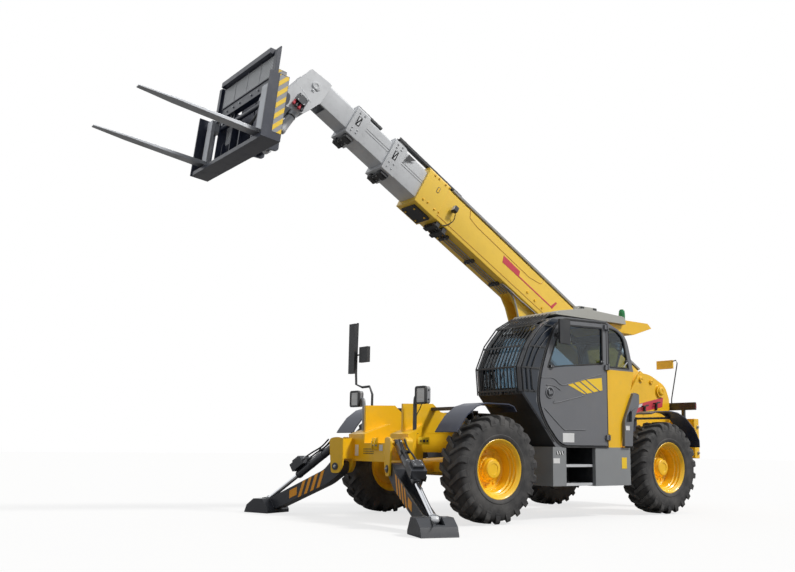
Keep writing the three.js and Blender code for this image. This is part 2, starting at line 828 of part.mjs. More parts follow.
/** Ears on the nose that carry the pins of a leg and its ram. */
function stabiliserBracket(side) {
  const earCorners = [
    [-110, 20],
    [-60, -80, 40],
    [65, -80, 40],
    [105, 330, 50],
    [-20, 350, 50],
    [-110, 330],
  ];
  const rearEar = prismX(handed(earCorners, side), -legThickness - 80, -legThickness - SWEEP_GAP);
  const frontEar = prismX(handed(earCorners, side), SWEEP_GAP, SWEEP_GAP + 22);
  const from = -legThickness - 30;
  const to = SWEEP_GAP + 20;
  const lowPin = bar([from, 0, 0], [to, 0, 0], legPinRadius);
  const ramY = side * (ramPinY - legPinY);
  const ramZ = ramPinZ - legPinZ;
  const highPin = bar([from, ramY, ramZ], [to, ramY, ramZ], ramPinRadius);
  const web = prismX(handed([[-110, 90], [-86, 90], [-86, 330], [-110, 330]], side), from, to);
  const bracket = join(rearEar, frontEar, lowPin, highPin, web);
  const turnedOut = bracket.rotate([0, 0, -side * THREE.MathUtils.radToDeg(legSplay)]);
  return moved(turnedOut, legPinX, side * legPinY, legPinZ);
}

// ---------------------------------------------------------------- cab

const cabProfile = [
  [960, cabFloor],
  [2150, cabFloor],
  [2420, 1170],
  [2700, 1470],
  [2730, 1780],
  [2600, 2060, 100],
  [2400, 2290, 120],
  [2130, 2440, 120],
  [1200, roofUnderside],
  [800, 2320, 150],
  [660, 1830],
];

const doorCorners = [
  [doorRear, 884],
  [2070, 884, 120],
  [2330, 1160, 160],
  [2440, 1400, 120],
  [2400, 1720, 160],
  [2270, 2060, 100],
  [2130, 2330, 100],
  [1980, 2398, 60],
  [doorRear, 2420],
];

/** The outline moved inwards all round by a distance; corners keep their radius. */
function inset(corners, by) {
  const count = corners.length;
  const edge = (i) => {
    const from = new THREE.Vector2(...corners[i % count]);
    const to = new THREE.Vector2(...corners[(i + 1) % count]);
    const along = to.sub(from).normalize();
    return { from: from.add(new THREE.Vector2(-along.y, along.x).multiplyScalar(by)), along };
  };
  return corners.map(([, , radius = 0], i) => {
    const one = edge(i + count - 1);
    const two = edge(i);
    const gap = two.from.clone().sub(one.from);
    const reach = gap.cross(two.along) / one.along.cross(two.along);
    const corner = one.from.clone().addScaledVector(one.along, reach);
    return [corner.x, corner.y, radius];
  });
}

const doorWindow = [
  [doorRear + 60, 1900],
  [1960, 1830, 60],
  [2310, 1790, 40],
  [2160, 2120, 80],
  [2010, 2350, 60],
  [doorRear + 60, 2370, 40],
];

const cabWindows = {
  quarter: [[745, 1870], [doorRear - 60, 1870], [doorRear - 60, 2390], [1000, 2375, 60], [855, 2290, 80]],
  right: [[820, 1500], [2440, 1500], [2460, 1850], [2260, 2240, 80], [1100, 2330], [880, 2230, 80]],
};

function cabFrame() {
  const shell = prismY(cabProfile, cabInner, cabOuter);
  const inside = prismY(inset(cabProfile, cabWall), cabInner + cabWall, cabOuter - cabWall);
  const doorway = prismY(inset(doorCorners, -doorGap), cabOuter - cabWall - 5, cabOuter + 5);
  const quarterWindow = prismY(cabWindows.quarter, cabOuter - cabWall - 5, cabOuter + 5);
  const rightWindow = prismY(cabWindows.right, cabInner - 5, cabInner + cabWall + 5);
  const [left, right] = [cabInner + 60, cabOuter - 60];
  const windscreen = prismX([[left, 1520, 60], [right, 1520, 60], [right, 2390, 60], [left, 2390, 60]], 2200, 2900);
  const rearWindow = prismX([[left, 1500, 60], [right, 1500, 60], [right, 2250, 60], [left, 2250, 60]], 500, 900);
  const visorCorners = [
    [960, 2366],
    [1190, 2440],
    [1190, roofUnderside - 3],
    [roofRear - 12, roofUnderside - 3],
    [roofRear - 30, visorTop],
    [260, visorTop],
    [180, 2470],
    [560, 2350],
  ];
  const visor = prismY(visorCorners, cabInner + 90, cabOuter - 60);
  const opened = cut(shell, inside, doorway, quarterWindow, rightWindow, windscreen, rearWindow);
  return join(opened, visor, ...hingeHeights.map(hingeArms));
}

/** Two arms and a pin on the pillar, at one height. */
function hingeArms(z) {
  const arm = box(hingeX - 18, hingeX + 8, cabOuter - 1, hingeY + 8, z + hingeHalf + 1, z + hingeHalf + 13);
  const lower = arm.translate([0, 0, -2 * hingeHalf - 14]);
  return join(arm, lower, bar([hingeX, hingeY, z - hingeHalf - 5], [hingeX, hingeY, z + hingeHalf + 5], 6, 8));
}

/** Knuckle and leaf on the door, between the arms. */
function hingeKnuckle(z) {
  const knuckleBar = bar([hingeX, hingeY, z - hingeHalf], [hingeX, hingeY, z + hingeHalf], 12, 8);
  const leaf = box(hingeX, doorRear + 40, cabOuter + doorProud - 4, hingeY, z - hingeHalf, z + hingeHalf);
  const pinHole = bar([hingeX, hingeY, z - 99], [hingeX, hingeY, z + 99], 6 + PIN_GAP, 8);
  return cut(join(knuckleBar, leaf), pinHole);
}

function cabDoor() {
  const panel = prismY(doorCorners, cabOuter - cabWall, cabOuter + doorProud);
  const window = prismY(doorWindow, cabOuter - cabWall - 1, cabOuter + doorProud + 1);
  return join(cut(panel, window), ...hingeHeights.map(hingeKnuckle));
}

function cabRoof() {
  const roofCorners = [
    [2130, roofUnderside + SEAT_GAP],
    [2090, 2510, 40],
    [1600, 2590, 60],
    [roofRear + 20, 2560, 60],
    [roofRear, roofUnderside + SEAT_GAP],
  ];
  const roof = prismY(roofCorners, cabInner, cabOuter);
  const lampPod = box(1190, 1520, cabOuter - 260, cabOuter - 150, 2560, 2650);
  return join(roof, lampPod);
}

function roofBeacon() {
  const base = bar([400, seatMiddle, visorTop + SEAT_GAP], [400, seatMiddle, 2620], 42, ROUND);
  const lens = bar([400, seatMiddle, 2615], [400, seatMiddle, 2752], 50, ROUND, 42);
  return join(base, lens);
}

/** Flat bars that follow the cab front, with three cross bars and feet at their ends. */
function cabGuard() {
  const straight = (by) => inset(cabProfile, -by).map(([a, b]) => [a, b]);
  const outer = straight(guardGap + guardThickness);
  const left = cabInner + 20;
  const right = cabOuter - 60;
  const ring = cut(prismY(outer, left, right), prismY(straight(guardGap), left - 1, right + 1));
  const window = (z0, z1) => box(2150, 2900, left, right, z0, z1);
  const pitch = (right - left - guardBarWidth) / (guardBarCount - 1);
  const bars = Array.from({ length: guardBarCount }, (_, i) => {
    const y = left + i * pitch;
    return box(2150, 2900, y, y + guardBarWidth, 1470, 2600);
  });
  const crossBars = [1500, 1770, 2030, 2300].map((z) => window(z, z + 22));
  const grid = ring.intersect(join(...bars, ...crossBars));
  const feetRing = cut(prismY(outer, left, right), prismY(straight(SEAT_GAP), left - 1, right + 1));
  const feetPlaces = bothEnds(left, right, 20).flatMap(([y0, y1]) => [
    box(2150, 2900, y0, y1, 1500, 1522),
    box(2150, 2900, y0, y1, 2300, 2322),
  ]);
  return join(grid, feetRing.intersect(join(...feetPlaces)));
}

const bothEnds = (low, high, width) => [
  [low, low + width],
  [high - width, high],
];

function operatorSeat() {
  const half = 250;
  const floor = cabFloor + cabWall + SEAT_GAP;
  const base = box(1230, 1640, seatMiddle - 200, seatMiddle + 200, floor, 1290);
  const cushion = prismY([[1180, 1280], [1700, 1300, 50], [1700, 1400, 50], [1200, 1370]], seatMiddle - half, seatMiddle + half);
  const back = prismY([[1080, 1310, 40], [1240, 1310], [1180, 1960, 60], [1040, 1960, 60]], seatMiddle - half, seatMiddle + half);
  const armRest = box(1200, 1560, seatMiddle - half - 60, seatMiddle - half + 1, 1500, 1550);
  return join(base, cushion, back, armRest);
}

function cabConsole() {
  const floor = cabFloor + cabWall + SEAT_GAP;
  const pedestal = prismY([[2010, floor], [2070, floor], [2400, 1380], [2330, 1460], [2180, 1430]], 640, 900);
  const column = bar([2290, seatMiddle, 1400], [2030, seatMiddle, 1640], 28, 10);
  const wheel = turned([[170, -13], [190, -13], [190, 13], [170, 13]], 24);
  const spokes = bar([-178, 0, 0], [178, 0, 0], 11, 8);
  const tilted = join(wheel, spokes, bar([0, 20, 0], [0, -20, 0], 45, 12));
  const placedWheel = tilted.rotate([90, 0, 0]).rotate([0, -44, 0]).translate([2030, seatMiddle, 1640]);
  return join(pedestal, column, placedWheel);
}

/** Tank and step boxes under the cab door. */
function cabSteps() {
  const inner = railOuter + SEAT_GAP;
  const top = cabFloor - SEAT_GAP;
  const rearBox = box(767, 1442, inner, cabOuter, 391, top);
  const column = box(1970, 2200, inner + 300, cabOuter, 400, top);
  const back = box(1441, 2200, inner, inner + 302, 440, top);
  const treads = [398, 622].map((z) => box(1441, 1971, inner + 290, cabOuter - 40, z, z + 26));
  return join(rearBox, column, back, ...treads);
}

// ---------------------------------------------------------------- body panels and fittings

/** Fender skin from its outer line, with a bracket to the chassis. */
function fender(line, inner, bracket) {
  const under = line.map(([x, z], i) => {
    const a = line[Math.max(i - 1, 0)];
    const b = line[Math.min(i + 1, line.length - 1)];
    const length = Math.hypot(b[0] - a[0], b[1] - a[1]);
    return [x + ((b[1] - a[1]) / length) * fenderSkin, z - ((b[0] - a[0]) / length) * fenderSkin];
  });
  const skin = prismY([...line, ...under.reverse()].reverse(), inner, fenderOuter);
  return join(skin, bracket);
}

const frontFenderLine = [
  [2835, 1256],
  [2880, 1315],
  [2960, 1340],
  [3310, 1340],
  [3450, 1300],
  [3590, 1200],
  [3690, 1080],
  [3740, 1010],
];

const rearFenderLine = [
  [-684, 880],
  [-680, 975],
  [-575, 1130],
  [-380, 1280],
  [-200, 1345],
  [-60, 1360],
  [250, 1350],
  [380, 1316],
];

function frontFender() {
  const arm = box(3380, 3450, channelHalfWidth + 130 + SEAT_GAP, fenderInner + 60, 1262, 1300);
  const rib = prismY(
    [
      [3380, 1262],
      [3450, 1262],
      [3450, 1288],
      [3380, 1316],
    ],
    fenderInner + 10,
    fenderInner + 60,
  );
  return fender(frontFenderLine, fenderInner, join(arm, rib));
}

function rearFender() {
  const inner = railOuter + SEAT_GAP;
  const post = box(-330, -250, inner, inner + 20, 960, 1300);
  const arm = box(-330, -250, inner, rearFenderInner + 60, 1262, 1290);
  const rib = box(-300, -270, rearFenderInner + 10, rearFenderInner + 60, 1280, 1316);
  return fender(rearFenderLine, rearFenderInner, join(post, arm, rib));
}

/** Height of the nose top at a place along the machine. */
function noseTop(x) {
  return noseTopRear + ((noseTopFront - noseTopRear) * (x - noseRear)) / (frontFace - noseRear);
}

/** Upright post with its foot on the sloping nose top. */
function nosePost(x, y, width, top) {
  const [x0, x1] = [x - width / 2, x + width / 2];
  const corners = [
    [x0, noseTop(x0) + SEAT_GAP],
    [x1, noseTop(x1) + SEAT_GAP],
    [x1, top],
    [x0, top],
  ];
  return prismY(corners, y - width / 2, y + width / 2);
}

function headlamp() {
  const shell = box(lampFace - lampDepth, lampFace, lampInner, lampOuter, lampBottom, lampTop);
  return join(shell, nosePost(lampFace - 50, lampInner + 25, 32, lampBottom + 20));
}

/** Tall mirror beside the right lamp, on its own post from the nose. */
function frontMirror() {
  const x = lampFace - lampDepth - 40;
  const y = -lampInner + 20;
  const headY = -lampOuter + 20;
  const post = pipe(
    [
      [x, y, 1085],
      [x, y, 1560],
      [x + 45, headY, 1600],
      [x + 45, headY, 2390],
    ],
    15,
    8,
  );
  const head = box(x + 50, x + 95, headY - 120, headY + 11, 1745, 2380);
  const small = box(x + 10, x + 55, headY + 60, headY + 240, 1880, 2075);
  const arm = bar([x + 38, headY, 1980], [x + 38, headY + 80, 1980], 10, 8);
  return join(nosePost(x, y, 40, 1100), post, head, small, arm);
}

/** Mirror on the front rim of the door. */
function cabMirror() {
  const face = cabOuter + doorProud + SEAT_GAP;
  const foot = box(2135, 2175, face, face + 12, 2180, 2220);
  const arm = pipe(
    [
      [2155, face + 6, 2200],
      [2150, face + 70, 2240],
      [2120, face + 84, 2240],
    ],
    9,
    8,
  );
  return join(foot, arm, box(2010, 2190, face + 80, face + 112, 2090, 2385));
}

/** Lamp bar across the tail, with the rear mirror on its arm. */
function rearLamps() {
  const top = 1300;
  const rear = rearEnd - SEAT_GAP;
  const beam = box(rear - 60, rear - 20, -710, 710, 1432, 1545);
  const posts = bothSides(box(rear - 60, rear - 20, 470, 520, top + SEAT_GAP, 1440));
  return join(beam, posts);
}

function rearMirror() {
  const rear = rearEnd - SEAT_GAP - 40;
  const arm = pipe(
    [
      [rear, 290, 1545 + SEAT_GAP],
      [rear, 290, 1600],
      [rear, 415, 2170],
      [rear, 330, 2180],
    ],
    9,
    8,
  );
  return join(arm, box(rear - 12, rear + 12, 40, 335, 2070, 2200));
}

// ---------------------------------------------------------------- engine side

/** The corners of the pod in (y, z), seen from behind, on the positive side. */
function podSection(grow) {
  return [
    [railOuter + SEAT_GAP - grow, podBottom + 60 - grow],
    [podOuter - 160, podBottom - grow],
    [podOuter + grow, podBottom + 90],
    [podOuter + grow, podTop - 120],
    [podOuter - 130, podTop + grow, 60],
    [railOuter + SEAT_GAP - grow, podTop + grow],
  ];
}

function engineHousing() {
  const shell = prismX(podSection(0), podRear, podFront);
  const inside = prismX(podSection(-podWall), podRear + podWall, podFront - podWall);
  const innerOpening = box(podRear + 60, podFront - 60, railOuter, railOuter + 40, podBottom + 90, hoodSeam - 60);
  const above = box(podRear - 1, podFront + 1, railOuter, podOuter + 40, hoodSeam, podTop + 60);
  const posts = hoodHingePlaces.flatMap((x) => [
    box(x, x + 14, railOuter + SEAT_GAP, railOuter + 28, hoodSeam - 40, hoodHingeZ + 10),
    box(x + 76, x + 90, railOuter + SEAT_GAP, railOuter + 28, hoodSeam - 40, hoodHingeZ + 10),
    bar([x + 7, hoodHingeY, hoodHingeZ], [x + 83, hoodHingeY, hoodHingeZ], 6, 8),
  ]);
  return mirroredY(join(cut(shell, inside, above, innerOpening), ...posts));
}

function engineHood() {
  const section = podSection(0);
  const shell = prismX(section, podRear, podFront);
  const inside = prismX(podSection(-podWall), podRear + podWall, podFront - podWall);
  const below = box(podRear - 1, podFront + 1, railOuter, podOuter + 40, podBottom - 60, hoodSeam + SWEEP_GAP);
  const innerEdge = box(podRear - 1, podFront + 1, railOuter - 1, hoodInner, podBottom, podTop + 60);
  const outlet = bar([1050, podOuter - 260, podTop - 10], [1050, podOuter - 260, podTop + 130], 48, ROUND);
  const outletBore = bar([1050, podOuter - 260, podTop - 60], [1050, podOuter - 260, podTop + 131], 40, ROUND);
  const knuckles = hoodHingePlaces.flatMap((x) => [
    bar([x + 16, hoodHingeY, hoodHingeZ], [x + 74, hoodHingeY, hoodHingeZ], 12, 8),
    box(x + 16, x + 74, hoodHingeY, hoodInner + 60, podTop - 5, hoodHingeZ),
  ]);
  const pinHole = bar([podRear, hoodHingeY, hoodHingeZ], [podFront, hoodHingeY, hoodHingeZ], 6 + PIN_GAP, 8);
  const cover = cut(join(shell, outlet), inside, below, innerEdge, outletBore);
  return mirroredY(cut(join(cover, ...knuckles), pinHole));
}

function engineBlock() {
  const block = box(1000, 1820, 500, 960, 740, 1200);
  const feet = [1080, 1620].map((x) => box(x, x + 90, railOuter + SEAT_GAP, 501, 820, 900));
  return mirroredY(join(block, ...feet));
}

/** Shaft between the two axles, with a gearbox block on it. */
function driveShaft() {
  const from = 210 + SEAT_GAP;
  const to = wheelbase - 190 - SEAT_GAP;
  const shaft = bar([from, 0, tyreRadius], [to, 0, tyreRadius], 34, 12);
  const flanges = [from, to - 30].map((x) => bar([x, 0, tyreRadius], [x + 30, 0, tyreRadius], 62, 12));
  const gearbox = box(1500, 1760, -170, 170, 480, 690);
  return join(shaft, ...flanges, gearbox);
}

// ---------------------------------------------------------------- assembly

function addBoom() {
  const place = placed(boomPivotX, 0, boomPivotZ, boomAngle);
  addMesh("boom_base", boomBase(), paintYellow, place);
  addMesh("boom_section_2", boomTube(1), paleGrey, place);
  addMesh("boom_section_3", boomTube(2), paleGrey, place);
  addMesh("boom_head", boomHead(), paleGrey, place);
  addCylinder("lift_cylinder", [liftBaseX, liftBaseZ], boomPoint(liftEyeS, liftEyeT), liftSize, paintYellow);
  const tiltFrom = boomPoint(tiltBaseS, tiltBaseT);
  addCylinder("tilt_cylinder", tiltFrom, boomPoint(tiltEyeS, tiltEyeT), tiltSize, paintDark);
}

function addChassis() {
  addMesh("chassis_frame", chassisFrame(), paintYellow);
  addMesh("boom_tower", boomTower(), paintYellow);
  addMesh("counterweight", counterweight(), paintYellow);
}

function addBodyPanels() {
  addMesh("front_fender_left", frontFender(), navy, machine, 0.6, 0);
  addMesh("front_fender_right", mirroredY(frontFender()), navy, machine, 0.6, 0);
  addMesh("rear_fender_left", rearFender(), navy, machine, 0.6, 0);
  addMesh("rear_fender_right", mirroredY(rearFender()), navy, machine, 0.6, 0);
  addMesh("headlamp_left", headlamp(), paintDark);
  addMesh("headlamp_right", mirroredY(headlamp()), paintDark);
  addMesh("front_mirror", frontMirror(), 0x1c1d1f);
  addMesh("rear_lamps", rearLamps(), 0x6b1716);
  addMesh("rear_mirror", rearMirror(), paintYellow);
}

function addEngineSide() {
  addMesh("engine_block", engineBlock(), 0x4a4b4d, machine, 0.7, 0.4);
  addMesh("engine_housing", engineHousing(), paintDark);
  addMesh("engine_hood", engineHood(), paintYellow);
  addMesh("drive_shaft", driveShaft(), 0x3a3b3e, machine, 0.6, 0.5);
}

addChassis();
addWheels();
addBoom();
addCarriage();
addStabiliser("left", 1);
addStabiliser("right", -1);
addMesh("cab_frame", cabFrame(), paintYellow);
addMesh("cab_door", cabDoor(), paintGrey);
addMesh("cab_roof", cabRoof(), paintGrey);
addMesh("roof_beacon", roofBeacon(), 0x1f8f4d);
addMesh("cab_guard", cabGuard(), paintDark);
addMesh("operator_seat", operatorSeat(), 0x1c1d1f, machine, 0.8, 0);
addMesh("cab_console", cabConsole(), 0x1c1d1f, machine, 0.7, 0);
addMesh("cab_steps", cabSteps(), paintGrey);
addMesh("cab_mirror", cabMirror(), 0x1c1d1f);
addBodyPanels();
addEngineSide();

const forkTipX = forkHeelX + forkLength * Math.cos(carriageLean) - forkThickness * Math.sin(carriageLean);
machine.position.x = -(rearEnd - SEAT_GAP - counterweightDepth + forkTipX) / 2;

export default machine;
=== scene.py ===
"""Looks for a telescopic handler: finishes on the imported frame, and the fine pieces that ride on it."""

import json
import logging
import math
from collections.abc import Iterable, Sequence
from dataclasses import dataclass, field
from enum import Enum

import bmesh
import bpy
from mathutils import Matrix, Vector
from mathutils.geometry import tessellate_polygon

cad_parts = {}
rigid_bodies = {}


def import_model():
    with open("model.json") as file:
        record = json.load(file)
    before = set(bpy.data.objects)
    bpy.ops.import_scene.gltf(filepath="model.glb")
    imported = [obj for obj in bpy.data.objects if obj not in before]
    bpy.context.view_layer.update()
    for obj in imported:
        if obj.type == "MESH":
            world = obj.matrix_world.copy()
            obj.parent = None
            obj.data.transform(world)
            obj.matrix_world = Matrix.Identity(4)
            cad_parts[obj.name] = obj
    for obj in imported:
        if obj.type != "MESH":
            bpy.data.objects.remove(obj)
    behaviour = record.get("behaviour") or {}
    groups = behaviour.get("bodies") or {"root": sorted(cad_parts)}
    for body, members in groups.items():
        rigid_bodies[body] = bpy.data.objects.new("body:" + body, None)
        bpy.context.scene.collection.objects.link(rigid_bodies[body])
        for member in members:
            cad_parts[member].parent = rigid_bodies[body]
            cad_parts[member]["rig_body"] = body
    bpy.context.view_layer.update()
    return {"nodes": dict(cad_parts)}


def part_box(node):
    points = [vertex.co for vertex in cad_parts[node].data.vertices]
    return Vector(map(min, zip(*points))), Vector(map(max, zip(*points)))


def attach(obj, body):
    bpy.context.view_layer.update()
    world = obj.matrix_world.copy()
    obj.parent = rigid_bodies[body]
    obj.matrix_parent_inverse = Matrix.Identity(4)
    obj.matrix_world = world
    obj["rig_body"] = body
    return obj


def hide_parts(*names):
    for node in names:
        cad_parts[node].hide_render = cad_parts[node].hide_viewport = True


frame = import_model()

logging.basicConfig(level=logging.INFO, format="%(name)s: %(message)s")
LOG = logging.getLogger("handler")

Point = tuple[float, float, float]
Corner = tuple[float, ...]
Colour = tuple[float, float, float]

HAIR = 0.0006  # a painted mark or seated plate stands this far off its wall
MARK_TOP = 0.0016  # outer face of a mark, off its wall
OVER, OVER_TOP = 0.0017, 0.0028  # the two faces of a mark laid on another
COLLAR = 0.024  # a boom tube's collar stands this far out from its wall


class Side(Enum):
    """Left or right of the machine."""

    LEFT = 1
    RIGHT = -1


class Axis(Enum):
    """The direction that an outline is swept or turned about."""

    X = 0
    Y = 1
    Z = 2


# ---------------------------------------------------------------- frames


def _rear_axle_x() -> float:
    """Where the rear axle stands in the row frame."""
    low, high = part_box("rim_rear_left")
    return (low.x + high.x) / 2


AXLE_X = _rear_axle_x()
MACHINE = Matrix.Translation((AXLE_X, 0, 0))  # rear axle, ground level, centre line


def climbing(x: float, y: float, z: float, angle_deg: float) -> Matrix:
    """A frame at a machine point whose X axis climbs by the angle."""
    turn = Matrix.Rotation(-math.radians(angle_deg), 4, "Y")
    return MACHINE @ Matrix.Translation((x, y, z)) @ turn


def swung(x: float, y: float, z: float, angle_deg: float) -> Matrix:
    """A frame at a machine point turned about Z."""
    turn = Matrix.Rotation(math.radians(angle_deg), 4, "Z")
    return MACHINE @ Matrix.Translation((x, y, z)) @ turn


def outwards(at: Point, side: int) -> Matrix:
    """A frame at a point whose Z faces left (1) or right (-1)."""
    return Matrix.Translation(at) @ Matrix.Rotation(-side * math.pi / 2, 4, "X")


BOOM_PIVOT = (-1.04, 0, 1.71)  # machine frame
BOOM_ANGLE = 29.3
BOOM = climbing(*BOOM_PIVOT, BOOM_ANGLE)
CARRIAGE_ORIGIN = (5.93, 0, 3.96)  # machine frame
CARRIAGE_ANGLE = 6.5
CARRIAGE = climbing(*CARRIAGE_ORIGIN, CARRIAGE_ANGLE)


# ---------------------------------------------------------------- outlines


def rounded(corners: Sequence[Corner], steps: int = 5) -> list[tuple[float, float]]:
    """An outline with its corners rounded.

    Args:
        corners: (a, b) or (a, b, radius) for each corner.
        steps: Pieces in each rounding.

    Returns:
        The outline's points.
    """
    points: list[tuple[float, float]] = []
    count = len(corners)
    for i, corner in enumerate(corners):
        here = Vector(corner[:2])
        radius = corner[2] if len(corner) > 2 else 0.0
        before = Vector(corners[i - 1][:2]) - here
        after = Vector(corners[(i + 1) % count][:2]) - here
        reach = min(radius, before.length * 0.49, after.length * 0.49)
        if reach <= 0:
            points.append((here.x, here.y))
            continue
        start = here + before.normalized() * reach
        end = here + after.normalized() * reach
        for k in range(steps + 1):
            t = k / steps
            spot = start * (1 - t) ** 2 + here * 2 * t * (1 - t) + end * t * t
            points.append((spot.x, spot.y))
    return points


def inset(outline: Sequence[Corner], by: float) -> list[tuple[float, float]]:
    """A counter-clockwise outline moved inwards all round, or outwards where by is negative.

    Args:
        outline: Its corners, in order.
        by: How far each side moves in.

    Returns:
        The moved corners.
    """
    count = len(outline)
    moved = []
    for i in range(count):
        here = Vector(outline[i][:2])
        one = (here - Vector(outline[i - 1][:2])).normalized()
        two = (Vector(outline[(i + 1) % count][:2]) - here).normalized()
        bisector = Vector((-one.y - two.y, one.x + two.x))
        share = max(0.3, (1 + one.dot(two)) / 2)
        moved.append(tuple(here + bisector / 2 * (by / share)))
    return moved


def circle(a: float, b: float, radius: float, count: int = 20) -> list[tuple[float, float]]:
    """Points round a circle in an outline's plane."""
    turn = 2 * math.pi / count
    return [(a + radius * math.cos(i * turn), b + radius * math.sin(i * turn)) for i in range(count)]


def slot(a: float, b: float, long: float, wide: float, lean: float = 0.0) -> list[tuple[float, float]]:
    """A round-ended slot in an outline's plane, turned by lean degrees.

    Args:
        a: The slot's middle along the first coordinate.
        b: Its middle along the second.
        long: Its length over both ends.
        wide: Its width.
        lean: Its turn in degrees.

    Returns:
        The slot's points.
    """
    radius, half = wide / 2, long / 2 - wide / 2
    c, s = math.cos(math.radians(lean)), math.sin(math.radians(lean))
    points = []
    for end, start in ((half, -90), (-half, 90)):
        for k in range(7):
            angle = math.radians(start + 30 * k)
            u, v = end + radius * math.cos(angle), radius * math.sin(angle)
            points.append((a + u * c - v * s, b + u * s + v * c))
    return points


def span_oblong(across: tuple[float, float], up: tuple[float, float]) -> list[tuple[float, float]]:
    """A rectangle between two pairs of bounds."""
    return [(across[0], up[0]), (across[1], up[0]), (across[1], up[1]), (across[0], up[1])]


def rounded_oblong(
    across: tuple[float, float], up: tuple[float, float], radius: float
) -> list[tuple[float, float]]:
    """A rectangle between two pairs of bounds, with its corners rounded."""
    return rounded([(a, b, radius) for a, b in span_oblong(across, up)])


def oblong(a: float, b: float, long: float, tall: float) -> list[tuple[float, float]]:
    """A rectangle about a point in an outline's plane."""
    return span_oblong((a - long / 2, a + long / 2), (b - tall / 2, b + tall / 2))


# ---------------------------------------------------------------- shapes


def _place(axis: Axis, a: float, b: float, depth: float) -> Point:
    """The point of an outline's (a, b) at a depth along the axis it is swept.

    Args:
        axis: The axis of the sweep.
        a: The outline's first coordinate.
        b: Its second.
        depth: The distance along the axis.

    Returns:
        The point.
    """
    if axis is Axis.X:
        return (depth, a, b)
    if axis is Axis.Y:
        return (a, depth, b)
    return (a, b, depth)


